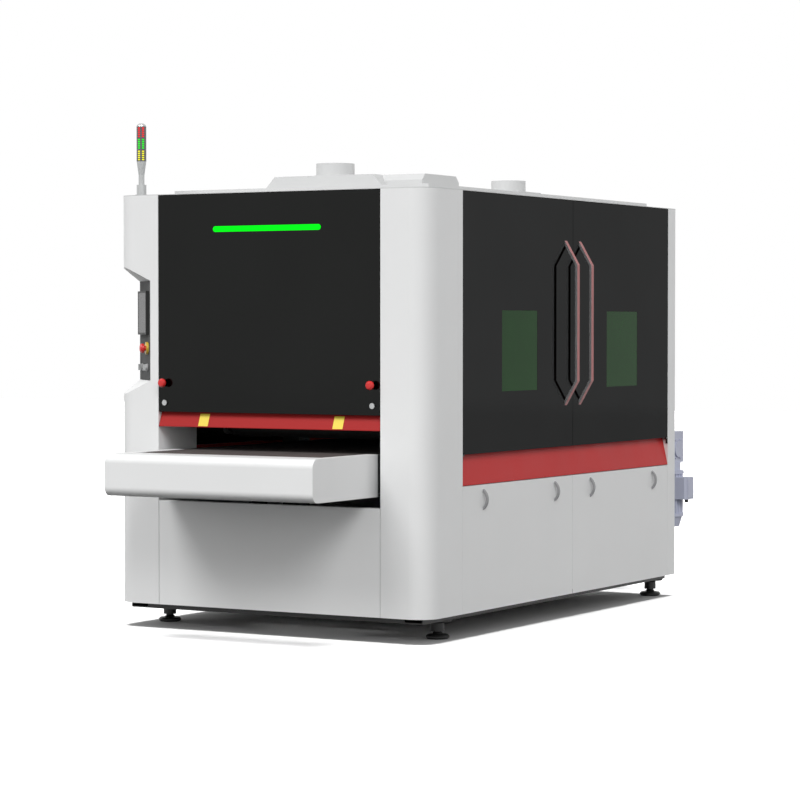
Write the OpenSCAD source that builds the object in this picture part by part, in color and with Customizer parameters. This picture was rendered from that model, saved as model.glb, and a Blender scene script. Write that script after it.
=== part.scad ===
// Through-feed deburring machine for sheet metal. A belt conveyor carries the
// sheet through a cabinet under two abrasive belt heads and a roller brush.
// Lengths are in millimetres: X across the feed, Y along it, Z up. The origin
// is on the floor, at the centre of the cabinet.

/* [Cabinet] */
// Length from the front face to the rear face
cabinet_l = 2636; // [2500:4:2800]
// Height of the roof above the floor
cabinet_top = 2023; // [1980:1:2100]
// Distance from the underside of the rails up to the cabinet sheets
skirt_gap = 26; // [20:1:32]
// Thickness of the cabinet sheets
sheet_t = 3; // [2:0.5:4]
// Gap between neighbouring panels, doors and columns
seam = 3; // [2:0.5:4]
// Distance from the cabinet faces in to the frame
frame_inset = 55; // [50:1:60]
// Width of the return folds of trays
fold_w = 26; // [20:1:30]

/* [Columns] */
// Width of the four corner columns seen from the front
column_w = 245; // [235:1:255]
// Gap between the table and the columns
table_side_gap = 49; // [40:1:60]
// Length of the front columns along the side
front_column_l = 314; // [300:2:330]
// Length of the rear columns along the side
rear_column_l = 99; // [90:1:110]
// Radius of the front corners
corner_r = 100; // [80:1:120]
// Radius of the rear corners
rear_corner_r = 12; // [8:1:16]
// Leg of the corner cut that holds the control panel
notch_leg = 200; // [190:1:206]
// Distance from the roof down to the control panel
notch_drop = 401; // [390:1:420]
// Height of the control panel itself
notch_h = 465; // [450:1:480]
// Rise of the sloping ends of the cut over one unit of depth
notch_slope_share = 0.65; // [0.5:0.05:0.8]

/* [Front] */
// Gap between the lower front panel and the table above it
front_panel_gap = 48; // [46:1:86]
// Height of the sheet opening over the table
mouth_h = 107; // [98:1:123]
// Height of the red strip under the black cover
strip_h = 69; // [60:1:80]
// Depth that the top of the red strip lies behind the cover
strip_recess = 25; // [15:1:35]
// Depth of the front and rear trays
front_tray_d = 50; // [45:1:55]
// Length of the light bar
light_l = 580; // [500:10:640]
// Height of the light bar
light_h = 26; // [20:1:32]
// Distance from the roof down to the centre of the light bar
light_drop = 167; // [140:1:220]
// Thickness that the light bar stands proud
light_t = 4; // [2:0.5:6]
// Distance of emergency stops and locks from the ends of the cover
stop_dx = 36; // [30:1:60]
// Height of the emergency stops above the underside of the cover
stop_rise = 134; // [110:1:160]
// Height of the locks above the underside of the cover
lock_rise = 42; // [36:1:60]

/* [Sides] */
// Top of the lower side panels
side_panel_top = 691; // [680:1:700]
// Height of the red band between the lower panels and the doors
band_h = 139; // [130:1:150]
// Depth that the top of the red band lies behind the doors
band_recess = 30; // [20:1:34]
// Width of the door windows
window_w = 355; // [300:5:380]
// Height of the door windows
window_h = 375; // [340:5:400]
// Distance from the underside of the doors up to the windows
window_rise = 276; // [250:1:310]
// Thickness of the window panes
pane_t = 6; // [4:1:8]
// Distance of the door handles from the middle of the side
handle_y = 77; // [60:1:100]
// Width of the flat bar of the handles
handle_w = 26; // [20:1:30]
// Thickness of the flat bar of the handles
handle_t = 11; // [8:1:14]
// Distance that the handles stand out
handle_out = 68; // [55:1:80]
// Distance from the underside of the doors up to the handles
handle_low = 196; // [170:1:230]
// Distance from the top of the doors down to the handles
handle_high = 195; // [170:1:230]
// Height of each slanted end of the handles
handle_slant = 117; // [100:1:130]
// Overall height of the pulls on the lower panels
pull_h = 97; // [85:1:110]
// Distance that the pulls stand out
pull_out = 26; // [22:1:32]
// Width of the pulls
pull_w = 14; // [10:1:18]
// Thickness of the bow of the pulls
pull_t = 9; // [7:1:10]
// Distance from the red band down to the middle of the pulls
pull_drop = 71; // [62:1:90]
// Distance of the outer pulls from the column
pull_end = 195; // [160:1:230]
// Distance of the inner pulls from the middle of the side
pull_mid = 193; // [160:1:230]

/* [Base and frame] */
// Underside of the base rails
rail_z = 86; // [84:1:92]
// Height of the base rails
rail_h = 112; // [100:1:120]
// Width of posts, rails and top beams
post_w = 100; // [90:1:105]
// Wall of the frame tubes
tube_wall = 6; // [4:1:8]
// Width of the cross members
cross_w = 80; // [70:1:90]
// Distance of the feet from the sides of the cabinet
foot_inset = 111; // [100:1:120]
// Distance of the front feet from the front face
front_foot_d = 282; // [260:1:300]
// Distance of the rear feet from the rear face
rear_foot_d = 72; // [66:1:90]
// Radius of the foot pads
foot_r = 53.5; // [50:0.5:60]
// Radius of the foot plates under the rails
foot_plate_r = 65; // [60:1:70]
// Thickness of the foot plates
foot_plate_t = 6; // [5:1:8]
// Radius of the lift columns under the table
lift_r = 45; // [40:1:50]
// Radius of the lift rams
ram_r = 30; // [25:1:35]
// Distance of the lift columns from the sides of the table
lift_inset = 101; // [96:1:130]
// Distance of the lift columns from the ends of the cabinet
lift_end_d = 618; // [580:1:670]
// Gap between the lift columns and the table above them
lift_gap = 86; // [75:1:105]

/* [Roof] */
// Distance of the raised roof cover from the sides of the cabinet
roof_cover_inset = 152; // [140:1:200]
// Distance of the roof cover from the front of the cabinet
roof_cover_front_d = 270; // [250:1:290]
// Distance of the roof cover from the rear of the cabinet
roof_cover_rear_d = 37; // [30:1:60]
// Height of the raised roof cover
roof_cover_h = 30; // [24:1:36]
// Height of the hood tops above the roof cover
hood_h = 65; // [60:1:75]
// Width of the top of the front hood
hood_top_w = 540; // [500:2:560]
// Run of the sloping ends of the front hood
hood_slope = 60; // [40:1:80]
// Distance of the front hood from the front of the cabinet
hood_front_d = 490; // [480:1:510]
// Length of the front hood along the machine
hood_l = 230; // [220:1:250]
// Length of the side hood past the top of the front hood
side_hood_l = 230; // [190:1:260]
// Distance of the side hood behind the face of the front hood
side_hood_dy = 62; // [50:1:80]
// Width of the side hood along the machine
side_hood_w = 353; // [330:1:370]
// Width of the chamfer along the side hood
side_hood_chamfer = 29; // [20:1:35]
// Side of the square plinth under the rear spigot
plinth_w = 256; // [230:2:280]
// Outer radius of the duct spigots
spigot_r = 91; // [85:1:95]
// Length of the duct spigots
spigot_h = 60; // [50:1:70]
// Wall of the duct spigots
spigot_wall = 3; // [2:0.5:4]
// Distance of the front spigot behind the face of the front hood
front_duct_dy = 112; // [108:1:120]
// Distance of the rear spigot from the rear of the cabinet
rear_duct_d = 276; // [264:1:290]
// Radius of the stack light
stack_r = 23; // [20:1:26]
// Overall height of the stack light
stack_h = 340; // [320:1:360]
// Distance of the stack light from the side of the cabinet
stack_dx = 90; // [80:1:110]
// Distance of the stack light from the front of the cabinet
stack_dy = 87; // [80:1:110]

/* [Table] */
// Height of the table top above the floor
table_top = 837; // [835:1:838]
// Height of the table body
table_h = 191; // [188:1:196]
// Distance that the table stands out of the cabinet at each end
table_reach = 492; // [480:1:520]
// Radius of the edges of the noses
nose_r = 40; // [30:1:45]
// Distance that the nose covers reach into the cabinet
nose_inside = 60; // [55:1:80]
// Distance from the nose to the slot in its top
nose_slot_d = 74; // [66:1:80]
// Width of the slot in the top of the nose
nose_slot_w = 12; // [8:1:16]
// Distance from the nose to the opening for the belt
nose_window_d = 160; // [150:1:165]
// Width of the conveyor belt, which carries sheets up to 1000 wide
belt_w = 980; // [960:2:990]
// Width of the table beside the belt
belt_edge_w = 61; // [56:1:70]
// Thickness of the conveyor belt
belt_t = 4; // [3:0.5:5]
// Radius of the conveyor rollers
roller_r = 75; // [72:1:77]
// Distance of the conveyor rollers from the ends of the table
roller_d = 250; // [245:1:270]
// Width of the side frames of the table
side_frame_w = 47; // [44:1:48]
// Radius of the ends of the conveyor roller shafts
shaft_r = 20; // [16:1:24]

/* [Heads] */
// Height of the lowest points of the heads above the table
head_gap = 45; // [44:1:53]
// Distance of the front belt head from the front of the cabinet
front_head_d = 718; // [708:1:728]
// Distance of the rear belt head from the rear of the cabinet
rear_head_d = 498; // [488:1:508]
// Distance that drums, brush and pinch rollers reach past the belt
drum_over = 35; // [25:1:40]
// Radius of the contact drums
drum_r = 100; // [95:1:104]
// Radius of the tension rollers
tension_r = 70; // [60:1:75]
// Distance from the top beams down to the tension rollers
tension_drop = 320; // [300:1:370]
// Distance that the abrasive belts reach past the conveyor belt
abrasive_over = 10; // [0:1:20]
// Thickness of the abrasive belts
abrasive_t = 2.5; // [2:0.5:4]
// Radius of the roller brush over its flaps
brush_r = 150; // [140:1:160]
// Radius of the core of the roller brush
brush_core_r = 70; // [60:1:80]
// Number of flaps round the roller brush
brush_flaps = 36; // [24:2:40]
// Thickness of each brush flap
flap_t = 5; // [4:0.5:6]
// Radius of the pinch rollers
pinch_r = 35; // [30:1:38]
// Distance of the pinch rollers from the drums
pinch_d = 180; // [175:1:185]
// Radius of the motors
motor_r = 100; // [90:1:104]
// Length of the motors
motor_l = 340; // [300:2:360]
// Distance of the belt head motors from the drums
motor_d = 235; // [230:1:240]
// Distance from the top beams down to the motors
motor_drop = 380; // [360:1:420]

/* [Hidden] */

$fn = 64;
// Overrun of cuts past the faces that they open
over = 1;
// Clearance between pieces that meet, and between pieces that move
fit_gap = 0.3;
// Radial clearance of shafts in their bearings
run_gap = 0.08;
white = [0.86, 0.87, 0.87];
gloss_black = [0.06, 0.06, 0.06];
signal_red = [0.72, 0.10, 0.09];
dark_grey = [0.30, 0.31, 0.31];
steel = [0.70, 0.71, 0.73];
motor_blue = [0.55, 0.58, 0.68];

// Faces of the cabinet, whose opening follows from the width of the table
table_w = belt_w + 2 * belt_edge_w;
half_table_w = table_w / 2;
column_x = half_table_w + table_side_gap;
half_w = column_x + column_w;
cabinet_w = 2 * half_w;
half_l = cabinet_l / 2;
cabinet_bottom = rail_z + skirt_gap;
roof_z = cabinet_top - sheet_t;
door_z = side_panel_top + band_h;
door_top = roof_z - seam;
door_bottom = door_z + seam;
door_h = door_top - door_bottom;
door_y0 = -half_l + front_column_l;
door_y1 = half_l - rear_column_l;
side_mid_y = (door_y0 + door_y1) / 2;
tray_x = column_x - seam;

// Heights of the table, of the opening over it and of the front pieces
table_z = table_top - table_h;
front_panel_top = table_z - front_panel_gap;
mouth_top = table_top + mouth_h;
cover_z = mouth_top + strip_h;
stop_x = tray_x - stop_dx;
stop_z = cover_z + stop_rise;
lock_z = cover_z + lock_rise;
light_z = cabinet_top - light_drop;
notch_z = cabinet_top - notch_drop - notch_h;

// Places on the side doors and the lower panels
window_z = door_bottom + window_rise;
handle_z = door_bottom + handle_low;
handle_h = door_h - handle_low - handle_high;
pull_z = side_panel_top - pull_drop;

// Frame of posts, rails and beams
frame_x = half_w - frame_inset;
frame_inner_x = frame_x - post_w;
cross_x = frame_inner_x - fit_gap;
frame_y = half_l - front_tray_d;
rail_top = rail_z + rail_h;
beam_z = roof_z - post_w;
post_z0 = rail_top + fit_gap;
post_z1 = beam_z - fit_gap;
front_post_y = door_y0 - 2 * sheet_t - post_w;
mid_post_y = side_mid_y - post_w / 2;
rear_post_y = frame_y - post_w;
head_beam_w = 120;
head_beam_h = 140;
head_beam_z = beam_z - fit_gap - head_beam_h;

// Table and belt
half_table_l = half_l + table_reach;
nose_l = table_reach + nose_inside;
lift_x = half_table_w - lift_inset;
lift_y = half_l - lift_end_d;
lift_top = table_z - lift_gap;
belt_gap = 0.5;
belt_sink = 1;
belt_top = table_top - belt_sink;
roller_z = belt_top - belt_t - belt_gap - roller_r;
roller_y = half_table_l - roller_d;
side_frame_x1 = half_table_w - sheet_t - fit_gap;
side_frame_x0 = side_frame_x1 - side_frame_w;
side_frame_d = 73;
side_frame_end = half_table_l - side_frame_d;

// Heads
contact_z = table_top + head_gap;
front_head_y = -half_l + front_head_d;
rear_head_y = half_l - rear_head_d;
drum_l = belt_w + 2 * drum_over;
abrasive_w = belt_w + 2 * abrasive_over;
tension_z = beam_z - tension_drop;
motor_z = beam_z - motor_drop;
drum_z = contact_z + drum_r + belt_gap + abrasive_t;
brush_z = contact_z + brush_r;
pinch_lead = 0.6;
pinch_z = contact_z + pinch_r - pinch_lead;
plate_gap = 35;
plate_t = 20;
plate_x0 = drum_l / 2 + plate_gap;
plate_x1 = plate_x0 + plate_t;
guard_w = 60;

// Roof pieces
roof_cover_w = cabinet_w - 2 * roof_cover_inset;
roof_cover_y0 = -half_l + roof_cover_front_d;
roof_cover_y1 = half_l - roof_cover_rear_d;
hood_y0 = -half_l + hood_front_d;
hood_y1 = hood_y0 + hood_l;
side_hood_x = hood_top_w / 2 + side_hood_l;
side_hood_y0 = hood_y0 + side_hood_dy;
side_hood_y1 = side_hood_y0 + side_hood_w;
front_duct_y = hood_y0 + front_duct_dy;
rear_duct_y = half_l - rear_duct_d;
hood_z = cabinet_top + roof_cover_h + fit_gap;
hood_top = cabinet_top + roof_cover_h + hood_h;
duct_r = spigot_r - spigot_wall;

// A box between two corners, given as ranges along each axis
module bar(x, y, z) {
    translate([x[0], y[0], z[0]])
        cube([x[1] - x[0], y[1] - y[0], z[1] - z[0]]);
}

// A round bar along X between two places
module rod_x(r, x0, x1) {
    translate([x0, 0, 0])
        rotate([0, 90, 0])
            cylinder(h = x1 - x0, r = r);
}

// A square tube along one axis, with its walls inside the box
module tube_z(x, y, z) {
    difference() {
        bar(x, y, z);
        bar([x[0] + tube_wall, x[1] - tube_wall], [y[0] + tube_wall, y[1] - tube_wall],
            [z[0] - over, z[1] + over]);
    }
}

module tube_y(x, y, z) {
    difference() {
        bar(x, y, z);
        bar([x[0] + tube_wall, x[1] - tube_wall], [y[0] - over, y[1] + over],
            [z[0] + tube_wall, z[1] - tube_wall]);
    }
}

module tube_x(x, y, z) {
    difference() {
        bar(x, y, z);
        bar([x[0] - over, x[1] + over], [y[0] + tube_wall, y[1] - tube_wall],
            [z[0] + tube_wall, z[1] - tube_wall]);
    }
}

// The children and their mirror image on the other side of the feed
module both_sides() {
    children();
    mirror([1, 0, 0])
        children();
}

module left_side() {
    mirror([1, 0, 0])
        children();
}

// Outline of a belt round two wheels, at the origin and at a distance along Y
function belt_outline(r0, r1, d, steps = 24) =
    let (lean = asin((r0 - r1) / d))
    concat(
        [for (i = [0 : steps]) let (a = 180 - lean + i * (180 + 2 * lean) / steps)
            r0 * [cos(a), sin(a)]],
        [for (i = [0 : steps]) let (a = lean + i * (180 - 2 * lean) / steps)
            [0, d] + r1 * [cos(a), sin(a)]]
    );
// Radius of an outline whose flats clear a round of radius r
function clear_radius(r, steps = 24) = r / cos(90 / steps);

// A folded tray of the outer size, open towards the inside of the cabinet.
// It stands in the XZ plane: its face is at y = 0 and its depth runs to +Y.
module tray(w, h, d, lip = fold_w) {
    difference() {
        cube([w, d, h]);
        translate([sheet_t, sheet_t, sheet_t])
            cube([w - 2 * sheet_t, d - 2 * sheet_t, h - 2 * sheet_t]);
        translate([lip, d - sheet_t - over, lip])
            cube([w - 2 * lip, sheet_t + 2 * over, h - 2 * lip]);
    }
}

// Pivots of the doors, the cover and the lower panels. Each axis lies inside
// the edge that it turns by, at a distance from the face and from the end.
pivot_in = 5;
pivot_end = 11;
pivot_r = 3.5;
pivot_root = 8;
pivot_relief = 2;
lug_t = 6;
lug_edge = 5.5;
lug_plate_h = 30;

// Puts a tray drawn in the XZ plane on the right side of the cabinet
module on_right_side(y0, z0) {
    translate([half_w, y0, z0])
        rotate([0, 0, 90])
            children();
}

// Outline of the right front column, drawn in by an inset
module front_column_outline(inset) {
    x0 = column_x + inset;
    x1 = half_w - inset;
    y0 = -half_l + inset;
    y1 = -half_l + front_column_l - inset;
    r = corner_r - inset;
    translate([x0, y0])
        square([x1 - x0 - r, y1 - y0]);
    translate([x0, y0 + r])
        square([x1 - x0, y1 - y0 - r]);
    translate([x1 - r, y0 + r])
        circle(r);
}

module rear_column_outline(inset) {
    x0 = column_x + inset;
    x1 = half_w - inset;
    y0 = half_l - rear_column_l + inset;
    y1 = half_l - inset;
    r = rear_corner_r - inset;
    translate([x0, y0])
        square([x1 - x0 - r, y1 - y0]);
    translate([x0, y0])
        square([x1 - x0, y1 - y0 - r]);
    translate([x1 - r, y1 - r])
        circle(r);
}

// Room for the cross members and beams where they pass the columns
module cross_member_slots() {
    for (y = [-frame_y, frame_y - cross_w],
         z = [[cabinet_bottom - over, rail_top + fit_gap], [beam_z - fit_gap, roof_z + over]])
        bar([column_x - over, column_x + column_lip + over],
            [y - fit_gap, y + cross_w + fit_gap], z);
}

// The part of the control panel's corner cut, deeper by an offset
notch_depth = notch_leg * sqrt(2) / 2;
notch_w = notch_leg * sqrt(2);
module notch_cut(offset_t) {
    slope_angle = atan(notch_slope_share);
    reach = notch_depth + over;
    shift = offset_t / cos(slope_angle);
    z0 = notch_z - shift + notch_slope_share * offset_t;
    z1 = notch_z + notch_h + shift - notch_slope_share * offset_t;
    rise = notch_slope_share * (reach + offset_t);
    on_notch(0, 0)
        translate([-notch_w, 0, 0])
            rotate([0, 90, 0])
                linear_extrude(2 * notch_w)
                    polygon([[offset_t, z0], [-reach, z0 - rise],
                             [-reach, z1 + rise], [offset_t, z1]]);
}

// Puts a shape on the control panel: x to the panel's front edge, y up, z out
module on_notch(x, z) {
    translate([-half_w + notch_leg / 2, -half_l + notch_leg / 2, 0])
        rotate([0, 0, -45])
            rotate([90, 0, 0])
                translate([x, z, 0])
                    children();
}

// Base

foot_x = half_w - foot_inset;
foot_places = [for (x = [-foot_x, foot_x], y = [-half_l + front_foot_d, half_l - rear_foot_d])
    [x, y]];
foot_plate_z = rail_z - foot_plate_t;
rail_end_gap = 9;
rail_y1 = half_l - rail_end_gap;
cross_places = [-frame_y, -lift_y - cross_w / 2, lift_y - cross_w / 2, frame_y - cross_w];

module base_frame() {
    color(gloss_black) {
        both_sides()
            tube_y([frame_inner_x, frame_x], [-frame_y, rail_y1], [rail_z, rail_top]);
        for (y = cross_places)
            tube_x([-cross_x, cross_x], [y, y + cross_w], [rail_z, rail_top]);
        for (p = foot_places)
            translate([p[0], p[1], foot_plate_z])
                cylinder(h = foot_plate_t - fit_gap, r = foot_plate_r);
    }
}

pad_h = 20;
pad_edge = 7;
pad_neck_h = 36;
pad_neck_r = 17;
stud_nut_r = 30;
stud_nut_z = 36;
stud_chamfer = 8;
stud_r = 12;

module foot_pads() {
    color(gloss_black)
        for (p = foot_places)
            translate([p[0], p[1], 0])
                rotate_extrude()
                    polygon([[0, 0], [foot_r - pad_edge, 0], [foot_r, pad_edge],
                             [foot_r, pad_h - pad_edge], [foot_r - pad_edge, pad_h],
                             [pad_neck_r + pad_edge, pad_h + pad_edge / 2],
                             [pad_neck_r, pad_neck_h - pad_edge / 2], [pad_neck_r, pad_neck_h],
                             [0, pad_neck_h]]);
}

module foot_studs() {
    nut_top = foot_plate_z;
    color(gloss_black)
        for (p = foot_places)
            translate([p[0], p[1], 0])
                rotate_extrude()
                    polygon([[0, stud_nut_z], [stud_nut_r, stud_nut_z],
                             [stud_nut_r, nut_top - stud_chamfer],
                             [stud_nut_r - stud_chamfer, nut_top], [0, nut_top]]);
}

// Frame: posts, top beams and the beams that carry the heads
module main_frame() {
    color(dark_grey) {
        both_sides() {
            for (y = [front_post_y, mid_post_y, rear_post_y])
                tube_z([frame_inner_x, frame_x], [y, y + post_w], [post_z0, post_z1]);
            tube_y([frame_inner_x, frame_x], [-frame_y, frame_y], [beam_z, roof_z]);
        }
        for (y = [-frame_y, side_mid_y - cross_w / 2, frame_y - cross_w])
            tube_x([-cross_x, cross_x], [y, y + cross_w], [beam_z, roof_z]);
        for (y = [front_head_y, rear_head_y])
            tube_x([-frame_x, frame_x], [y - head_beam_w / 2, y + head_beam_w / 2],
                   [head_beam_z, beam_z - fit_gap]);
        tube_x([-cross_x, cross_x],
               [side_mid_y - head_beam_w / 2, side_mid_y + head_beam_w / 2],
               [head_beam_z, beam_z - fit_gap]);
    }
}

// Columns
column_lip = 40;

// Hole in a front column for a pin of the cover
module cover_pin_hole() {
    translate([0, -half_l + pivot_in, door_top - pivot_end])
        rod_x(pivot_r + run_gap, column_x - over, column_x + sheet_t + over);
}

// Hole through a sheet for a pin of the lower right panels, from a face towards -Y
module panel_pin_hole(y, depth) {
    translate([half_w - pivot_in, y + over, cabinet_bottom + pivot_end])
        rotate([90, 0, 0])
            cylinder(h = depth + 2 * over, r = pivot_r + run_gap);
}

module front_column_shell() {
    difference() {
        translate([0, 0, cabinet_bottom])
            linear_extrude(roof_z - cabinet_bottom)
                difference() {
                    front_column_outline(0);
                    front_column_outline(sheet_t);
                    translate([column_x + column_lip, -half_l + front_column_l - sheet_t - over])
                        square([column_w - 2 * column_lip, sheet_t + 2 * over]);
                }
        cross_member_slots();
        cover_pin_hole();
    }
}

module front_right_column() {
    color(white)
        difference() {
            front_column_shell();
            panel_pin_hole(door_y0, sheet_t);
        }
}

module front_left_column() {
    color(white) {
        difference() {
            left_side()
                front_column_shell();
            notch_cut(0);
        }
        // The folded sheet that lines the corner cut
        intersection() {
            difference() {
                notch_cut(sheet_t);
                notch_cut(0);
                stem_holes(-sheet_t - over, over);
            }
            left_side()
                translate([0, 0, cabinet_bottom])
                    linear_extrude(roof_z - cabinet_bottom)
                        front_column_outline(0);
        }
    }
}

module rear_column() {
    difference() {
        translate([0, 0, cabinet_bottom])
            linear_extrude(roof_z - cabinet_bottom)
                difference() {
                    rear_column_outline(0);
                    rear_column_outline(sheet_t);
                    translate([column_x + column_lip, half_l - rear_column_l - over])
                        square([column_w - 2 * column_lip, sheet_t + 2 * over]);
                }
        cross_member_slots();
    }
}

module rear_columns() {
    color(white)
        difference() {
            both_sides()
                rear_column();
            panel_pin_hole(door_y1 + sheet_t, sheet_t);
        }
}

// Brackets under the outer lower corners of the side doors, each with the hole
// for the door's lower pin
module door_pivot_bracket() {
    reach = seam / 2 + pivot_end + lug_edge;
    difference() {
        union() {
            bar([half_w - 2 * lug_edge, half_w], [door_y0, door_y0 + reach],
                [door_z - lug_t, door_z]);
            bar([half_w - 2 * lug_edge, half_w], [door_y0, door_y0 + sheet_t],
                [door_z - lug_plate_h, door_z]);
        }
        translate([half_w - pivot_in, front_door_y + pivot_end, door_z - lug_t - over])
            cylinder(h = lug_t + 2 * over, r = pivot_r + run_gap);
    }
}

// The thin lug in the seam between the two lower panels, which takes a pin of each
module panel_pivot_lug() {
    difference() {
        bar([frame_x, half_w],
            [side_mid_y - seam / 2 + fit_gap, side_mid_y + seam / 2 - fit_gap],
            [cabinet_bottom + fit_gap, cabinet_bottom + 2 * pivot_end]);
        panel_pin_hole(side_mid_y + seam / 2, seam);
    }
}

module pivot_brackets() {
    color(gloss_black) {
        both_sides() {
            door_pivot_bracket();
            translate([0, 2 * side_mid_y, 0])
                mirror([0, 1, 0])
                    door_pivot_bracket();
        }
        panel_pivot_lug();
    }
}

// Fixed panels
side_panel_h = side_panel_top - seam - cabinet_bottom;
side_tray_d = frame_inset - fit_gap;
front_door_l = side_mid_y - door_y0 - seam;
rear_door_l = door_y1 - side_mid_y - seam;
front_door_y = door_y0 + seam / 2;
rear_door_y = side_mid_y + seam / 2;
end_tray_d = front_tray_d - fit_gap;

module lower_panels() {
    color(white) {
        translate([-tray_x, -half_l, cabinet_bottom])
            tray(2 * tray_x, front_panel_top - cabinet_bottom, end_tray_d);
        left_side() {
            on_right_side(front_door_y, cabinet_bottom)
                tray(front_door_l, side_panel_h, side_tray_d);
            on_right_side(rear_door_y, cabinet_bottom)
                tray(rear_door_l, side_panel_h, side_tray_d);
        }
    }
}

module rear_panels() {
    color(white)
        rotate([0, 0, 180]) {
            translate([-tray_x, -half_l, cabinet_bottom])
                tray(2 * tray_x, front_panel_top - cabinet_bottom, end_tray_d);
            translate([-tray_x, -half_l, mouth_top])
                tray(2 * tray_x, door_top - mouth_top, end_tray_d);
        }
}

module duct_holes(z0, z1) {
    for (y = [front_duct_y, rear_duct_y])
        translate([0, y, z0])
            cylinder(h = z1 - z0, r = duct_r);
}

module roof_panel() {
    color(white)
        difference() {
            translate([0, 0, roof_z])
                linear_extrude(sheet_t) {
                    both_sides() {
                        front_column_outline(0);
                        rear_column_outline(0);
                    }
                    translate([-half_w, door_y0])
                        square([cabinet_w, door_y1 - door_y0]);
                    translate([-column_x, -half_l])
                        square([2 * column_x, cabinet_l]);
                }
            duct_holes(roof_z - over, cabinet_top + over);
            for (x = [-half_w + pivot_in, half_w - pivot_in],
                 y = [front_door_y + pivot_end, rear_door_y + rear_door_l - pivot_end])
                translate([x, y, roof_z - over])
                    cylinder(h = sheet_t + 2 * over, r = pivot_r + run_gap);
        }
}

// The front and side hood as one solid form, drawn in by an inset and run
// down by a drop, so that one form less another leaves the folded sheet
module front_hood(inset, drop) {
    z0 = hood_z - drop;
    z1 = hood_top - inset;
    c = side_hood_chamfer;
    translate([0, hood_y1 - inset, 0])
        rotate([90, 0, 0])
            linear_extrude(hood_y1 - hood_y0 - 2 * inset)
                polygon([[-hood_top_w / 2 - hood_slope + inset, z0],
                         [hood_top_w / 2 + hood_slope - inset, z0],
                         [hood_top_w / 2, z1], [-hood_top_w / 2, z1]]);
    rotate([90, 0, 90])
        translate([0, 0, hood_top_w / 2 - 2 * inset])
            linear_extrude(side_hood_x - hood_top_w / 2 + inset)
                polygon([[side_hood_y0 + inset, z0], [side_hood_y1 - inset, z0],
                         [side_hood_y1 - inset, z1 - c], [side_hood_y1 - inset - c, z1],
                         [side_hood_y0 + inset + c, z1], [side_hood_y0 + inset, z1 - c]]);
}

// A folded sheet box, open at its underside
module roof_box(x, y, z) {
    difference() {
        bar(x, y, z);
        bar([x[0] + sheet_t, x[1] - sheet_t], [y[0] + sheet_t, y[1] - sheet_t],
            [z[0] - over, z[1] - sheet_t]);
    }
}

module roof_covers() {
    color(white)
        difference() {
            union() {
                roof_box([-roof_cover_w / 2, roof_cover_w / 2],
                         [roof_cover_y0, roof_cover_y1],
                         [cabinet_top, cabinet_top + roof_cover_h]);
                difference() {
                    front_hood(0, 0);
                    front_hood(sheet_t, over);
                }
                roof_box([-plinth_w / 2, plinth_w / 2],
                         [rear_duct_y - plinth_w / 2, rear_duct_y + plinth_w / 2],
                         [hood_z, hood_top - fit_gap]);
            }
            duct_holes(cabinet_top - over, hood_top + over);
        }
}

spigot_flange_w = 12;
spigot_flange_t = 3;

module duct_spigots() {
    color(white)
        for (p = [[front_duct_y, hood_top], [rear_duct_y, hood_top - fit_gap]])
            translate([0, p[0], p[1]])
                difference() {
                    union() {
                        cylinder(h = spigot_h, r = spigot_r);
                        cylinder(h = spigot_flange_t, r = spigot_r + spigot_flange_w);
                    }
                    translate([0, 0, -over])
                        cylinder(h = spigot_h + 2 * over, r = duct_r);
                }
}

// Controls on the corner
panel_t = 2;
panel_margin = 4;
panel_w = notch_w - 2 * panel_margin;
screen_w = 222;
screen_h = 205;
screen_t = 15;
screen_rise = 316;
screen_z = notch_z + screen_rise;
screen_dx = 2;
screen_rim = 8;
screen_sink = 1.5;
panel_stop_x = 81;
start_x = -59;
button_rise = 150;
button_z = notch_z + button_rise;
knob_rise = 60;
knob_z = notch_z + knob_rise;
mode_knob_x = 76;
speed_knob_x = -54;
stop_head_r = 22;
stop_head_t = 21;
stop_stem_r = 11;
stop_collar_r = 29;
stop_collar_t = 10;
stop_travel_gap = 7;
button_r = 13;
button_t = 12;
bezel_r = 18;
bezel_t = 4;
knob_r = 16;
knob_t = 8;
knob_stem_r = 7;
grip_w = 7;
grip_h = 10;

// Holes for the stems of the controls, between two depths
module stem_holes(z0, z1) {
    for (p = [[panel_stop_x, button_z, stop_stem_r], [start_x, button_z, stop_stem_r],
              [mode_knob_x, knob_z, knob_stem_r], [speed_knob_x, knob_z, knob_stem_r]])
        on_notch(p[0], p[1])
            translate([0, 0, z0])
                cylinder(h = z1 - z0, r = p[2] + fit_gap);
}

module control_panel() {
    color(dark_grey)
        difference() {
            on_notch(0, notch_z)
                translate([-panel_w / 2, 0, 0])
                    cube([panel_w, notch_h, panel_t]);
            stem_holes(-over, panel_t + over);
        }
}

module control_screen() {
    color(gloss_black)
        on_notch(screen_dx, screen_z)
            translate([-screen_w / 2, -screen_h / 2, panel_t])
                difference() {
                    cube([screen_w, screen_h, screen_t]);
                    translate([screen_rim, screen_rim, screen_t - screen_sink])
                        cube([screen_w - 2 * screen_rim, screen_h - 2 * screen_rim,
                              screen_sink + over]);
                }
}

module collar(x, z, r, t, bore_r) {
    on_notch(x, z)
        translate([0, 0, panel_t])
            difference() {
                cylinder(h = t, r = r);
                translate([0, 0, -over])
                    cylinder(h = t + 2 * over, r = bore_r);
            }
}

module panel_button_collars() {
    color([0.85, 0.68, 0.12])
        collar(panel_stop_x, button_z, stop_collar_r, stop_collar_t, stop_stem_r + fit_gap);
    color(dark_grey) {
        collar(start_x, button_z, bezel_r, bezel_t, button_r + fit_gap);
        collar(mode_knob_x, knob_z, bezel_r, bezel_t, knob_stem_r + fit_gap);
        collar(speed_knob_x, knob_z, bezel_r, bezel_t, knob_stem_r + fit_gap);
    }
}

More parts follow.
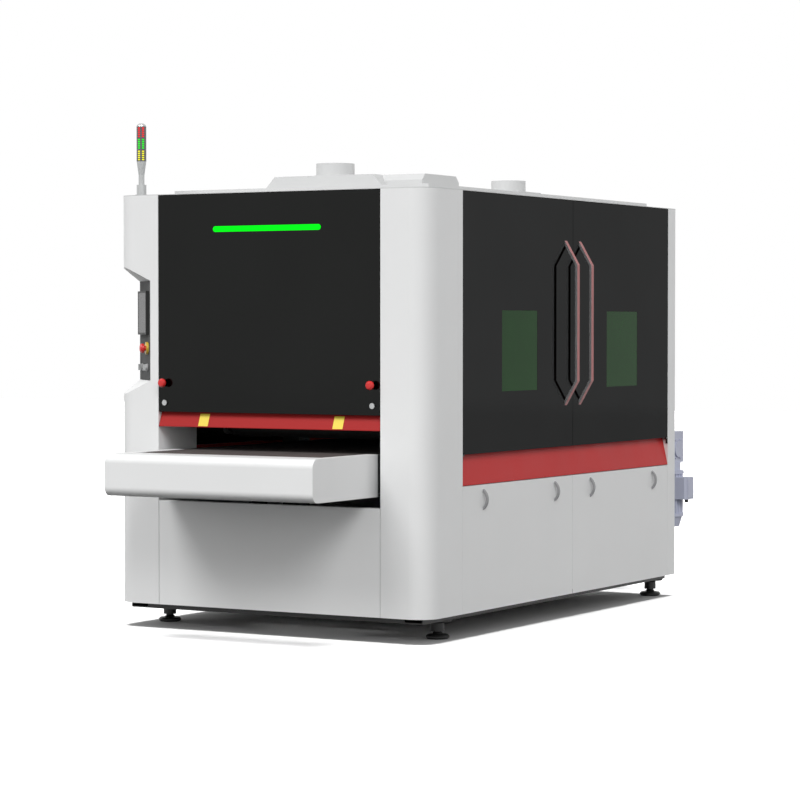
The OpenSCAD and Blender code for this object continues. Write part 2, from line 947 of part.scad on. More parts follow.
// A mushroom head on its stem: the stem starts at z = 0
module mushroom(stem_h, stem_r, head_r, head_t) {
    edge = head_t / 5;
    rotate_extrude()
        polygon([[0, 0], [stem_r, 0], [stem_r, stem_h], [head_r - edge, stem_h],
                 [head_r, stem_h + edge], [head_r, stem_h + head_t - 2 * edge],
                 [head_r - edge, stem_h + head_t - edge / 2],
                 [head_r / 2, stem_h + head_t], [0, stem_h + head_t]]);
}

module panel_stop() {
    color(signal_red)
        on_notch(panel_stop_x, button_z)
            translate([0, 0, fit_gap])
                mushroom(panel_t + stop_collar_t + stop_travel_gap, stop_stem_r,
                         stop_head_r, stop_head_t);
}

module start_button() {
    color([0.10, 0.62, 0.16])
        on_notch(start_x, button_z) {
            translate([0, 0, panel_t + bezel_t])
                cylinder(h = button_t - bezel_t, r = button_r);
            translate([0, 0, fit_gap])
                cylinder(h = panel_t + bezel_t, r = stop_stem_r);
        }
}

module knob(x) {
    stem = panel_t + bezel_t + fit_gap;
    on_notch(x, knob_z) {
        translate([0, 0, fit_gap])
            cylinder(h = stem, r = knob_stem_r);
        translate([0, 0, stem])
            cylinder(h = knob_t, r = knob_r);
        translate([-grip_w / 2, -knob_r + grip_w / 4, stem])
            cube([grip_w, 2 * knob_r - grip_w / 2, knob_t + grip_h]);
    }
}

module mode_knob() {
    color(steel)
        knob(mode_knob_x);
}

module speed_knob() {
    color(steel)
        knob(speed_knob_x);
}

// Stack light
stack_flange_r = 30;
stack_flange_t = 6;
stack_collar_h = 46;
stack_neck_r = 14;
stack_neck_h = 110;
stack_cap_h = 14;
cap_edge_share = 0.9;
lens_wall = 4;
lens_gap = 1;
lens_z0 = stack_flange_t + stack_collar_h + stack_neck_h;
lens_z1 = stack_h - stack_cap_h;

module at_stack() {
    translate([-half_w + stack_dx, -half_l + stack_dy, cabinet_top])
        children();
}

module stack_light_post() {
    core_r = stack_r - lens_wall - fit_gap;
    color(steel)
        at_stack()
            rotate_extrude()
                polygon([[0, 0], [stack_flange_r, 0], [stack_flange_r, stack_flange_t],
                         [stack_r, stack_flange_t],
                         [stack_r, stack_flange_t + stack_collar_h],
                         [stack_neck_r, stack_flange_t + stack_collar_h],
                         [stack_neck_r, stack_flange_t + 2 * stack_collar_h],
                         [stack_r, lens_z0], [core_r, lens_z0], [core_r, lens_z1],
                         [stack_r, lens_z1], [stack_r * cap_edge_share, lens_z1 + stack_cap_h / 2],
                         [stack_r / 2, stack_h], [0, stack_h]]);
}

module stack_light_lenses() {
    lens_h = (lens_z1 - lens_z0) / 3;
    lens_colours = [[0.92, 0.80, 0.08], [0.10, 0.72, 0.22], [0.90, 0.12, 0.08]];
    at_stack()
        for (i = [0 : 2])
            color(lens_colours[i])
                translate([0, 0, lens_z0 + i * lens_h + lens_gap / 2])
                    difference() {
                        cylinder(h = lens_h - lens_gap, r = stack_r);
                        translate([0, 0, -over])
                            cylinder(h = lens_h + 2 * over, r = stack_r - lens_wall);
                    }
}

// Red band between the doors and the lower panels
module red_bands() {
    x1 = half_w;
    x0 = half_w - band_recess;
    xb = half_w - side_tray_d;
    color(signal_red)
        both_sides()
            translate([0, door_y1 - seam / 2, 0])
                rotate([90, 0, 0])
                    linear_extrude(door_y1 - door_y0 - seam)
                        polygon([[xb, side_panel_top], [x1, side_panel_top],
                                 [x1, side_panel_top + sheet_t], [x0, door_z],
                                 [xb, door_z], [xb, door_z - sheet_t],
                                 [x0 - sheet_t, door_z - sheet_t],
                                 [x1 - 2 * sheet_t, side_panel_top + sheet_t],
                                 [xb, side_panel_top + sheet_t]]);
}

// Front cover and what it carries
cover_stop_r = 20;
cover_stop_t = 20;
cover_stop_ring_r = 17;
cover_stop_ring_t = 12;
cover_stop_stem_r = 9;
lock_r = 13;
lock_t = 8;
lock_stem_r = 7;
cam_l = 34;
cam_w = 14;
cam_t = 4;
lock_stem_l = 18;

// Puts a shape on the front face of the cabinet, with z out of the face
module on_front(x, z) {
    translate([x, -half_l, z])
        rotate([90, 0, 0])
            children();
}

module front_cover() {
    color(gloss_black)
        difference() {
            union() {
                translate([-tray_x, -half_l, cover_z])
                    tray(2 * tray_x, door_top - cover_z, end_tray_d - pivot_relief);
                both_sides()
                    translate([0, -half_l + pivot_in, door_top - pivot_end])
                        rod_x(pivot_r, tray_x - pivot_root, column_x + sheet_t - fit_gap);
                for (x = [-stop_x, stop_x])
                    on_front(x, stop_z)
                        cylinder(h = cover_stop_ring_t, r = cover_stop_ring_r);
            }
            for (x = [-stop_x, stop_x]) {
                on_front(x, stop_z)
                    translate([0, 0, -sheet_t - over])
                        cylinder(h = sheet_t + cover_stop_ring_t + 2 * over,
                                 r = cover_stop_stem_r + fit_gap);
                on_front(x, lock_z)
                    translate([0, 0, -sheet_t - over])
                        cylinder(h = sheet_t + 2 * over, r = lock_stem_r + fit_gap);
            }
        }
}

module front_red_strip() {
    y0 = -half_l;
    y1 = -half_l + strip_recess;
    yb = -half_l + end_tray_d;
    color(signal_red)
        rotate([90, 0, 90])
            translate([0, 0, -tray_x])
                linear_extrude(2 * tray_x)
                    polygon([[yb, mouth_top], [y0, mouth_top], [y0, mouth_top + sheet_t],
                             [y1, cover_z], [yb, cover_z], [yb, cover_z - sheet_t],
                             [y1 + sheet_t, cover_z - sheet_t],
                             [y0 + 2 * sheet_t, mouth_top + sheet_t],
                             [yb, mouth_top + sheet_t]]);
}

module light_bar() {
    color([0.10, 0.95, 0.15])
        on_front(0, light_z)
            linear_extrude(light_t)
                rotate(90)
                    translate([0, -light_l / 2 + light_h / 2])
                        polygon(belt_outline(light_h / 2, light_h / 2, light_l - light_h));
}

module cover_stop(x) {
    color(signal_red)
        on_front(x, stop_z)
            translate([0, 0, -2 * sheet_t])
                mushroom(2 * sheet_t + cover_stop_ring_t + stop_travel_gap,
                         cover_stop_stem_r, cover_stop_r, cover_stop_t);
}

module front_stop_left() {
    cover_stop(-stop_x);
}

module front_stop_right() {
    cover_stop(stop_x);
}

module cover_lock(x) {
    color(steel)
        on_front(x, lock_z) {
            translate([0, 0, fit_gap])
                cylinder(h = lock_t, r = lock_r);
            translate([0, 0, -lock_stem_l])
                cylinder(h = lock_stem_l + lock_t, r = lock_stem_r);
            translate([-cam_w / 2, -cam_w / 2, -lock_stem_l - cam_t])
                cube([cam_w, cam_l, cam_t]);
        }
}

module cover_lock_left() {
    cover_lock(-stop_x);
}

module cover_lock_right() {
    cover_lock(stop_x);
}

// Side doors
window_frame_w = 22;
pane_sink = 0.5;
window_frame_t = 12;

// A door on the right side, with its pivot pins at a place along it
module side_door(y0, w, pin_place, with_window) {
    wx = w / 2 - window_w / 2;
    wz = window_z - door_bottom;
    upper_pin_z = door_h - pivot_root;
    on_right_side(y0, door_bottom)
        difference() {
            union() {
                tray(w, door_h, side_tray_d - pivot_relief);
                translate([pin_place, pivot_in, -seam - lug_t + fit_gap])
                    cylinder(h = lug_t + seam + pivot_root - fit_gap, r = pivot_r);
                translate([pin_place, pivot_in, upper_pin_z])
                    cylinder(h = roof_z + sheet_t - fit_gap - door_bottom - upper_pin_z,
                             r = pivot_r);
                if (with_window)
                    translate([wx - window_frame_w, sheet_t / 2, wz - window_frame_w])
                        cube([window_w + 2 * window_frame_w, window_frame_t,
                              window_h + 2 * window_frame_w]);
            }
            if (with_window)
                translate([wx, -over, wz])
                    cube([window_w, window_frame_t + 2 * over + sheet_t, window_h]);
        }
}

module window_pane(y0, w) {
    on_right_side(y0 + w / 2 - window_w / 2, window_z)
        translate([fit_gap, pane_sink, fit_gap])
            cube([window_w - 2 * fit_gap, pane_t, window_h - 2 * fit_gap]);
}

module right_front_door() {
    color(gloss_black)
        side_door(front_door_y, front_door_l, pivot_end, true);
}

module right_rear_door() {
    color(gloss_black)
        side_door(rear_door_y, rear_door_l, rear_door_l - pivot_end, true);
}

module right_front_window() {
    color([0.10, 0.25, 0.13, 0.6])
        window_pane(front_door_y, front_door_l);
}

module right_rear_window() {
    color([0.10, 0.25, 0.13, 0.6])
        window_pane(rear_door_y, rear_door_l);
}

module left_front_door() {
    color(gloss_black)
        left_side()
            side_door(front_door_y, front_door_l, pivot_end, false);
}

module left_rear_door() {
    color(gloss_black)
        left_side()
            side_door(rear_door_y, rear_door_l, rear_door_l - pivot_end, false);
}

// A long bow handle on the right side, bent from flat bar. foot is the height
// that the slanted ends take up where they meet the door.
module bow_handle(y) {
    inner = handle_out - handle_t;
    foot = handle_t * norm([handle_out, handle_slant]) / handle_out;
    bend = handle_t * handle_slant / handle_out;
    color(steel)
        translate([half_w, y + handle_w / 2, handle_z])
            rotate([90, 0, 0])
                linear_extrude(handle_w)
                    polygon([[0, 0], [handle_out, handle_slant],
                             [handle_out, handle_h - handle_slant], [0, handle_h],
                             [0, handle_h - foot],
                             [inner, handle_h - handle_slant - foot + bend],
                             [inner, handle_slant + foot - bend], [0, foot]]);
}

module right_front_handle() {
    bow_handle(side_mid_y - handle_y);
}

module right_rear_handle() {
    bow_handle(side_mid_y + handle_y);
}

module left_front_handle() {
    left_side()
        bow_handle(side_mid_y - handle_y);
}

module left_rear_handle() {
    left_side()
        bow_handle(side_mid_y + handle_y);
}

// Lengths of the lower panels' pins past their ends
column_pin_l = seam / 2 + sheet_t - fit_gap;
lug_pin_l = seam / 2 - fit_gap;

// A small bow pull, part of a ring that stands out of the panel
module pull(y) {
    r = (pull_h * pull_h / 4 + pull_out * pull_out) / (2 * pull_out);
    intersection() {
        translate([half_w + pull_out - r, y + pull_w / 2, pull_z])
            rotate([90, 0, 0])
                difference() {
                    cylinder(h = pull_w, r = r);
                    translate([0, 0, -over])
                        cylinder(h = pull_w + 2 * over, r = r - pull_t);
                }
        bar([half_w, half_w + pull_out + over], [y - pull_w, y + pull_w],
            [pull_z - pull_h, pull_z + pull_h]);
    }
}

// A lower panel with its pins, which reach into a column on one side and into
// the lug between the panels on the other
module lower_side_panel(y0, w, pulls, reach0, reach1) {
    color(white) {
        on_right_side(y0, cabinet_bottom) {
            tray(w, side_panel_h, side_tray_d - pivot_relief);
            translate([0, pivot_in, pivot_end]) {
                rod_x(pivot_r, -reach0, pivot_root);
                rod_x(pivot_r, w - pivot_root, w + reach1);
            }
        }
        for (y = pulls)
            pull(y);
    }
}

module right_front_lower_panel() {
    lower_side_panel(front_door_y, front_door_l, [door_y0 + pull_end, side_mid_y - pull_mid],
                     column_pin_l, lug_pin_l);
}

module right_rear_lower_panel() {
    lower_side_panel(rear_door_y, rear_door_l, [side_mid_y + pull_mid, door_y1 - pull_end],
                     lug_pin_l, column_pin_l);
}

// Table with its conveyor
bed_t = 12;
channel_web = 12;
channel_flange = 10;
bed_gap = 1;
bed_end_gap = 120;
table_cross_w = 80;
table_cross_h = 23;
ram_room = 151.3;
lift_floor = 50;
frame_end_z = sheet_t + fit_gap;

// A side frame of the table: a channel that is open to the outside
module side_channel(z0, z1) {
    difference() {
        bar([side_frame_x0, side_frame_x1], [-side_frame_end, side_frame_end], [z0, z1]);
        bar([side_frame_x0 + channel_web, side_frame_x1 + over],
            [-side_frame_end + channel_flange, side_frame_end - channel_flange],
            [z0 + channel_flange, z1 - channel_flange]);
    }
}

module table_frame() {
    bed_top = belt_top - belt_t - bed_gap;
    z0 = table_z + frame_end_z;
    z1 = table_top - frame_end_z;
    ram_l = z0 - rail_top - lift_floor - ram_room;
    color(dark_grey)
        difference() {
            union() {
                both_sides()
                    side_channel(z0, z1);
                bar([-side_frame_x0 - over, side_frame_x0 + over],
                    [-roller_y + bed_end_gap, roller_y - bed_end_gap],
                    [bed_top - bed_t, bed_top]);
                for (y = [-lift_y, lift_y])
                    bar([-side_frame_x0 - over, side_frame_x0 + over],
                        [y - table_cross_w / 2, y + table_cross_w / 2],
                        [z0, z0 + table_cross_h]);
                for (x = [-lift_x, lift_x], y = [-lift_y, lift_y])
                    translate([x, y, z0 - ram_l])
                        cylinder(h = ram_l + table_cross_h / 2, r = ram_r);
            }
            for (y = [-roller_y, roller_y])
                translate([0, y, roller_z])
                    rod_x(shaft_r + run_gap, -half_table_w, half_table_w);
        }
}

module nose_outline(inset) {
    y1 = nose_l;
    z0 = table_z + inset;
    z1 = table_top - inset;
    r = nose_r - inset;
    translate([inset + r, z0])
        square([y1 - r, z1 - z0]);
    translate([inset, z0 + r])
        square([y1, z1 - z0 - 2 * r]);
    translate([inset + r, z0 + r])
        circle(r);
    translate([inset + r, z1 - r])
        circle(r);
}

module nose_cover() {
    difference() {
        translate([-half_table_w, -half_table_l, 0])
            rotate([90, 0, 90])
                linear_extrude(table_w)
                    intersection() {
                        nose_outline(0);
                        square([nose_l, table_top]);
                    }
        translate([-half_table_w + sheet_t, -half_table_l, 0])
            rotate([90, 0, 90])
                linear_extrude(table_w - 2 * sheet_t)
                    nose_outline(sheet_t);
        bar([-belt_w / 2 - 2 * sheet_t, belt_w / 2 + 2 * sheet_t],
            [-half_table_l + nose_window_d, -half_table_l + nose_l + over],
            [table_top - 2 * sheet_t, table_top + over]);
        bar([-belt_w / 2 - nose_r, belt_w / 2 + nose_r],
            [-half_table_l + nose_slot_d, -half_table_l + nose_slot_d + nose_slot_w],
            [table_top - 2 * sheet_t, table_top + over]);
    }
}

module nose_covers() {
    color(white)
        difference() {
            union() {
                nose_cover();
                rotate([0, 0, 180])
                    nose_cover();
            }
            translate([0, roller_y, roller_z])
                rod_x(shaft_r + fit_gap, half_table_w - 2 * sheet_t, half_table_w + over);
        }
}

module conveyor_belt() {
    inner_r = clear_radius(roller_r + belt_gap);
    color([0.20, 0.18, 0.17])
        translate([-belt_w / 2, -roller_y, roller_z])
            rotate([90, 0, 90])
                linear_extrude(belt_w)
                    rotate(-90)
                        difference() {
                            polygon(belt_outline(inner_r + belt_t, inner_r + belt_t,
                                                 2 * roller_y));
                            polygon(belt_outline(inner_r, inner_r, 2 * roller_y));
                        }
}

roller_half_l = belt_w / 2;
gearbox_w = 197;
gearbox_y = 75;
gearbox_drop = 72;
gearbox_rise = 93;

module conveyor_roller(y, x1) {
    color(steel)
        translate([0, y, roller_z]) {
            rod_x(roller_r, -roller_half_l, roller_half_l);
            rod_x(shaft_r, -side_frame_x1 + fit_gap, x1);
        }
}

module drive_roller() {
    conveyor_roller(roller_y, half_table_w + gearbox_drop);
}

module idler_roller() {
    conveyor_roller(-roller_y, side_frame_x1 - fit_gap);
}

gear_motor_r = 85;
gear_motor_dx = 141;
gear_motor_drop = 116.5;
gear_motor_h = 243;
gear_ring_t = 16;
gear_flange_r = 68;
gear_boss_r = 44;
gear_boss_t = 9;
gear_bolt_d = 56;
gear_bolt_r = 5;
gear_bolt_t = 6;
cowl_r = 78;
cowl_end_r = 62;
cowl_h = 54;
box_dx = 273;
box_drop = 149.5;
box_h = 117;
box_y = 52;
box_chamfer = 14;

// Worm gearbox on the roller shaft, with its motor hanging below
module gear_motor() {
    gearbox_bottom = roller_z - gearbox_drop;
    gear_motor_x = half_table_w + gear_motor_dx;
    gear_motor_top = roller_z - gear_motor_drop;
    gear_motor_bottom = gear_motor_top - gear_motor_h;
    cowl_bottom = gear_motor_bottom - cowl_h;
    box_x1 = half_table_w + box_dx;
    box_z1 = roller_z - box_drop;
    color(motor_blue)
        translate([0, roller_y, 0])
            difference() {
                union() {
                    bar([half_table_w, half_table_w + gearbox_w], [-gearbox_y, gearbox_y],
                        [gearbox_bottom, roller_z + gearbox_rise]);
                    translate([gear_motor_x, 0, gear_motor_top])
                        cylinder(h = gearbox_bottom + over - gear_motor_top,
                                 r = gear_flange_r);
                    translate([gear_motor_x, 0, gear_motor_top - gear_ring_t])
                        cylinder(h = gear_ring_t + over, r = gear_motor_r);
                    translate([gear_motor_x, 0, gear_motor_bottom])
                        linear_extrude(gear_motor_h)
                            polygon(fin_outline(gear_motor_r - fin_h / 2, fin_count));
                    translate([gear_motor_x, 0, gear_motor_bottom])
                        cylinder(h = gear_ring_t, r = gear_motor_r);
                    translate([0, 0, roller_z])
                        rod_x(gear_boss_r, half_table_w + gearbox_w - over,
                              half_table_w + gearbox_w + gear_boss_t);
                    for (a = [0 : 60 : 300])
                        translate([0, gear_bolt_d * cos(a), roller_z + gear_bolt_d * sin(a)])
                            rod_x(gear_bolt_r, half_table_w + gearbox_w - over,
                                  half_table_w + gearbox_w + gear_bolt_t);
                    translate([gear_motor_x, 0, cowl_bottom])
                        cylinder(h = gear_motor_bottom + over - cowl_bottom,
                                 r1 = cowl_end_r, r2 = cowl_r);
                    translate([0, 0, box_z1 - box_h])
                        linear_extrude(box_h)
                            polygon([[gear_motor_x, -box_y], [box_x1 - box_chamfer, -box_y],
                                     [box_x1, -box_y + box_chamfer],
                                     [box_x1, box_y - box_chamfer],
                                     [box_x1 - box_chamfer, box_y], [gear_motor_x, box_y]]);
                }
                translate([0, 0, roller_z])
                    rod_x(shaft_r + run_gap, half_table_w - over,
                          half_table_w + gearbox_drop + over);
            }
}

module lift_columns() {
    color(dark_grey)
        for (x = [-lift_x, lift_x], y = [-lift_y, lift_y])
            translate([x, y, rail_top])
                difference() {
                    cylinder(h = lift_top - rail_top, r = lift_r);
                    translate([0, 0, lift_floor])
                        cylinder(h = lift_top - rail_top, r = ram_r + fit_gap);
                }
}

// Heads
bearing_r = 85;
drum_shaft_r = 30;
tension_shaft_r = 24;
pinch_shaft_r = 12;
plate_top_half_w = 110;
plate_waist_half_w = 80;
arm_h = 50;
arm_r = 25;
ear_r = 110;
guard_r = 92;
shaft_end = 30;

// Outline of a head's side plate in Y and Z. dir is the way to the pinch
// roller, or zero on the brush head. ear adds the place of the motor.
module head_plate_outline(low_z, dir, ear) {
    polygon([[-plate_top_half_w, head_beam_z], [-plate_waist_half_w, low_z],
             [plate_waist_half_w, low_z], [plate_top_half_w, head_beam_z]]);
    translate([0, low_z])
        circle(bearing_r);
    if (dir != 0) {
        translate([dir * pinch_d, pinch_z])
            circle(arm_r);
        translate([min(0, dir * pinch_d), pinch_z - arm_r])
            square([pinch_d, arm_h]);
    }
    if (ear) {
        translate([dir * motor_d, motor_z])
            circle(ear_r);
        translate([min(0, dir * motor_d), motor_z - ear_r])
            square([motor_d, 2 * ear_r]);
    }
}

module head_plate(y, x0, low_z, low_r, dir, ear) {
    translate([x0, y, 0])
        rotate([90, 0, 90])
            linear_extrude(plate_t)
                difference() {
                    head_plate_outline(low_z, dir, ear);
                    translate([0, low_z])
                        circle(low_r + run_gap);
                    if (dir != 0) {
                        translate([0, tension_z])
                            circle(tension_shaft_r + run_gap);
                        translate([dir * pinch_d, pinch_z])
                            circle(pinch_shaft_r + run_gap);
                    }
                }
}

module head_frames() {
    color(dark_grey) {
        for (h = [[front_head_y, -1], [rear_head_y, 1]]) {
            head_plate(h[0], plate_x0, drum_z, drum_shaft_r, h[1], false);
            head_plate(h[0], -plate_x1, drum_z, drum_shaft_r, h[1], true);
        }
        head_plate(side_mid_y, plate_x0, brush_z, drum_shaft_r, 0, false);
        head_plate(side_mid_y, -plate_x1, brush_z, drum_shaft_r, 0, false);
    }
}

// Flanged bearings on the right side plates, where the shafts end
bearing_t = 26;
bearing_cap_t = 5;
bearing_wall = 24;
bearing_step = 12;

module bearing(y, z, r) {
    translate([plate_x1, y, z])
        rotate([0, 90, 0])
            difference() {
                union() {
                    cylinder(h = bearing_step, r = r + bearing_wall);
                    cylinder(h = bearing_t, r = r + bearing_wall - bearing_step);
                }
                translate([0, 0, -over])
                    cylinder(h = bearing_t - bearing_cap_t + over, r = r + run_gap);
            }
}

module bearing_housings() {
    color(steel) {
        for (y = [front_head_y, rear_head_y]) {
            bearing(y, drum_z, drum_shaft_r);
            bearing(y, tension_z, tension_shaft_r);
        }
        bearing(side_mid_y, brush_z, drum_shaft_r);
    }
}

// A motor inside the left side plate and its belt guard outside it
fin_count = 24;
fin_h = 8;
motor_flange_t = 20;
motor_cowl_l = 60;
function fin_outline(r, n) =
    [for (i = [0 : 2 * n - 1]) let (a = i * 180 / n, s = i % 2 == 0 ? r : r - fin_h)
        each [s * [cos(a - 45 / n), sin(a - 45 / n)], s * [cos(a + 45 / n), sin(a + 45 / n)]]];

module head_motor(y, low_z, my) {
    d = norm([my, motor_z - low_z]);
    lean = atan2(-my, motor_z - low_z);
    translate([-plate_x0 + fit_gap, y + my, motor_z])
        rotate([0, 90, 0]) {
            cylinder(h = motor_flange_t, r = motor_r);
            linear_extrude(motor_l)
                polygon(fin_outline(motor_r - fin_h / 2, fin_count));
            translate([0, 0, motor_l - motor_cowl_l])
                cylinder(h = motor_cowl_l, r = motor_r);
        }
    translate([-plate_x1 - guard_w, y, low_z])
        difference() {
            rotate([90, 0, 90])
                linear_extrude(guard_w)
                    rotate(lean)
                        polygon(belt_outline(guard_r, guard_r, d));
            rod_x(drum_shaft_r + run_gap, guard_w - shaft_end - over, guard_w + over);
        }
}

module head_motors() {
    color(motor_blue) {
        head_motor(front_head_y, drum_z, -motor_d);
        head_motor(rear_head_y, drum_z, motor_d);
        head_motor(side_mid_y, brush_z, 0);
    }
}

module abrasive_belts() {
    r0 = clear_radius(drum_r + belt_gap);
    r1 = clear_radius(tension_r + belt_gap);
    color([0.45, 0.20, 0.12])
        for (y = [front_head_y, rear_head_y])
            translate([-abrasive_w / 2, y, drum_z])
                rotate([90, 0, 90])
                    linear_extrude(abrasive_w)
                        difference() {
                            polygon(belt_outline(r0 + abrasive_t, r1 + abrasive_t,
                                                 tension_z - drum_z));
                            polygon(belt_outline(r0, r1, tension_z - drum_z));
                        }
}

module head_roller(y, z, r, end_r, end_l = bearing_t - bearing_cap_t - fit_gap) {
    translate([0, y, z]) {
        rod_x(r, -drum_l / 2, drum_l / 2);
        rod_x(end_r, -plate_x1 + fit_gap, plate_x1 + end_l);
    }
}

module contact_drum(y) {
    color([0.12, 0.12, 0.12]) {
        head_roller(y, drum_z, drum_r, drum_shaft_r);
        translate([0, y, drum_z])
            rod_x(drum_shaft_r, -plate_x1 - shaft_end + fit_gap, 0);
    }
}

module front_contact_drum() {
    contact_drum(front_head_y);
}

module rear_contact_drum() {
    contact_drum(rear_head_y);
}

module front_tension_roller() {
    color(steel)
        head_roller(front_head_y, tension_z, tension_r, tension_shaft_r);
}

module rear_tension_roller() {
    color(steel)
        head_roller(rear_head_y, tension_z, tension_r, tension_shaft_r);
}

module front_pinch_roller() {
    color([0.12, 0.12, 0.12])
        head_roller(front_head_y - pinch_d, pinch_z, pinch_r, pinch_shaft_r, -fit_gap);
}

module rear_pinch_roller() {
    color([0.12, 0.12, 0.12])
        head_roller(rear_head_y + pinch_d, pinch_z, pinch_r, pinch_shaft_r, -fit_gap);
}

// Roller brush: flaps of abrasive cloth round a core
module brush_roller() {
    color([0.35, 0.16, 0.10]) {
        head_roller(side_mid_y, brush_z, brush_core_r, drum_shaft_r);
        translate([0, side_mid_y, brush_z]) {
            rod_x(drum_shaft_r, -plate_x1 - shaft_end + fit_gap, 0);
            for (i = [0 : brush_flaps - 1])
                rotate([i * 360 / brush_flaps, 0, 0])
                    bar([-drum_l / 2, drum_l / 2], [-flap_t / 2, flap_t / 2],
                        [brush_core_r - flap_t, brush_r]);
        }
    }
}

base_frame();
foot_pads();
foot_studs();
main_frame();
front_left_column();
front_right_column();
rear_columns();
lower_panels();
rear_panels();
roof_panel();
roof_covers();
duct_spigots();
pivot_brackets();
control_panel();
control_screen();
panel_button_collars();
stack_light_post();
stack_light_lenses();
red_bands();
head_frames();
bearing_housings();
head_motors();
abrasive_belts();
lift_columns();
front_cover();
front_red_strip();
light_bar();
front_stop_left();
front_stop_right();
cover_lock_left();
cover_lock_right();
panel_stop();
start_button();
mode_knob();
speed_knob();
right_front_door();
right_rear_door();
right_front_window();
right_rear_window();
right_front_handle();
right_rear_handle();
left_front_door();
left_rear_door();
left_front_handle();
left_rear_handle();
right_front_lower_panel();
right_rear_lower_panel();
table_frame();
nose_covers();
conveyor_belt();
drive_roller();
idler_roller();
gear_motor();
front_contact_drum();
rear_contact_drum();
front_tension_roller();
rear_tension_roller();
brush_roller();
front_pinch_roller();
rear_pinch_roller();
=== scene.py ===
"""Looks of a through-feed deburring machine for sheet metal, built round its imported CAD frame.

Lengths are in metres in the frame of the CAD part: X across the feed, Y along it, Z up.
"""

import math

import bmesh
import bpy
from mathutils import Matrix, Vector


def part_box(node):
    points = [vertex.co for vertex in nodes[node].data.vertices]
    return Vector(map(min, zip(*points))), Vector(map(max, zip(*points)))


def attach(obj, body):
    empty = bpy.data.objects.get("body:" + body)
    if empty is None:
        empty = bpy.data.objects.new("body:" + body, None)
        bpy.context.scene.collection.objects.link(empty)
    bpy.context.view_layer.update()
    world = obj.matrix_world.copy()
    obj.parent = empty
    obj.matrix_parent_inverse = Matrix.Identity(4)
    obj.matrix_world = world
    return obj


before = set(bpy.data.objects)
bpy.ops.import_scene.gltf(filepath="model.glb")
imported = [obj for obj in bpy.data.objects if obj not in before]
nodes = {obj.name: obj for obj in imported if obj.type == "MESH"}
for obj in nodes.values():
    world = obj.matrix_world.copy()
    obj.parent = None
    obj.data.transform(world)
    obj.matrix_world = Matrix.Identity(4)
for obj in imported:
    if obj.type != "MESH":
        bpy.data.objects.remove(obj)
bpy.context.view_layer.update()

MM = 0.001


# Shader nodes

# Nearly all of a noise factor lies in this range
NOISE_RANGE = (0.3, 0.7)
NOISE_DETAIL = 3.0


def new_material(name):
    """A material with its node tree and its Principled shader."""
    material = bpy.data.materials.new(name)
    material.use_nodes = True
    return material, material.node_tree, material.node_tree.nodes["Principled BSDF"]


def add(tree, kind, inputs=None, **settings):
    """A shader node with its settings and its unlinked inputs."""
    node = tree.nodes.new(kind)
    for key, value in settings.items():
        setattr(node, key, value)
    for key, value in (inputs or {}).items():
        node.inputs[key].default_value = value
    return node


def set_sockets(shader, **values):
    """Sets constants on the shader's own sockets, with underscores for the spaces in a name."""
    for key, value in values.items():
        shader.inputs[key.replace("_", " ")].default_value = value


def coordinate(tree, source, axis):
    """One axis of a place (Object) or of a direction (Normal, or Generated in the world)."""
    texture = add(tree, "ShaderNodeTexCoord")
    split = add(tree, "ShaderNodeSeparateXYZ")
    tree.links.new(texture.outputs[source], split.inputs["Vector"])
    return split.outputs[axis]


def noise(tree, scale, detail=NOISE_DETAIL, stretch=(1.0, 1.0, 1.0)):
    """Noise in the object's own metres, as a factor from 0 to 1."""
    place = add(tree, "ShaderNodeTexCoord")
    mapping = add(tree, "ShaderNodeMapping", {"Scale": stretch})
    texture = add(tree, "ShaderNodeTexNoise", {"Scale": scale, "Detail": detail})
    tree.links.new(place.outputs["Object"], mapping.inputs["Vector"])
    tree.links.new(mapping.outputs["Vector"], texture.inputs["Vector"])
    return texture.outputs["Fac"]


def map_range(tree, value, from_range=(0.0, 1.0), to_range=(0.0, 1.0)):
    """Maps a value from one range to another, and holds it at the ends."""
    node = add(tree, "ShaderNodeMapRange", {"From Min": from_range[0], "From Max": from_range[1],
                                            "To Min": to_range[0], "To Max": to_range[1]})
    tree.links.new(value, node.inputs["Value"])
    return node.outputs["Result"]


def mix_colour(tree, factor, first, second):
    """A mix of two colours, each a tuple or another node's output."""
    node = add(tree, "ShaderNodeMix", data_type="RGBA")
    colour_a, colour_b = [socket for socket in node.inputs if socket.type == "RGBA"]
    tree.links.new(factor, node.inputs["Factor"])
    for socket, value in ((colour_a, first), (colour_b, second)):
        if isinstance(value, tuple):
            socket.default_value = (*value, 1.0)
        else:
            tree.links.new(value, socket)
    return [socket for socket in node.outputs if socket.type == "RGBA"][0]


def mottle(tree, first, second, scale, detail=NOISE_DETAIL):
    """A colour that drifts between two in patches."""
    factor = map_range(tree, noise(tree, scale, detail), NOISE_RANGE)
    return mix_colour(tree, factor, first, second)


def shade(colour, share):
    """A colour made darker or lighter by a share."""
    return tuple(min(1.0, part * share) for part in colour)


def larger(tree, first, second):
    """The larger of two values."""
    node = add(tree, "ShaderNodeMath", operation="MAXIMUM")
    tree.links.new(first, node.inputs[0])
    tree.links.new(second, node.inputs[1])
    return node.outputs["Value"]


def reflected_rays(tree):
    """1 for rays from a reflection or through glass, and 0 for the rest."""
    rays = add(tree, "ShaderNodeLightPath")
    return larger(tree, rays.outputs["Is Glossy Ray"], rays.outputs["Is Transmission Ray"])


def seen_rays(tree):
    """1 for rays from the camera too, and 0 for those that carry light between surfaces."""
    rays = add(tree, "ShaderNodeLightPath")
    return larger(tree, rays.outputs["Is Camera Ray"], reflected_rays(tree))


def set_colour(tree, shader, colour):
    """Links a colour to the shader."""
    tree.links.new(colour, shader.inputs["Base Color"])


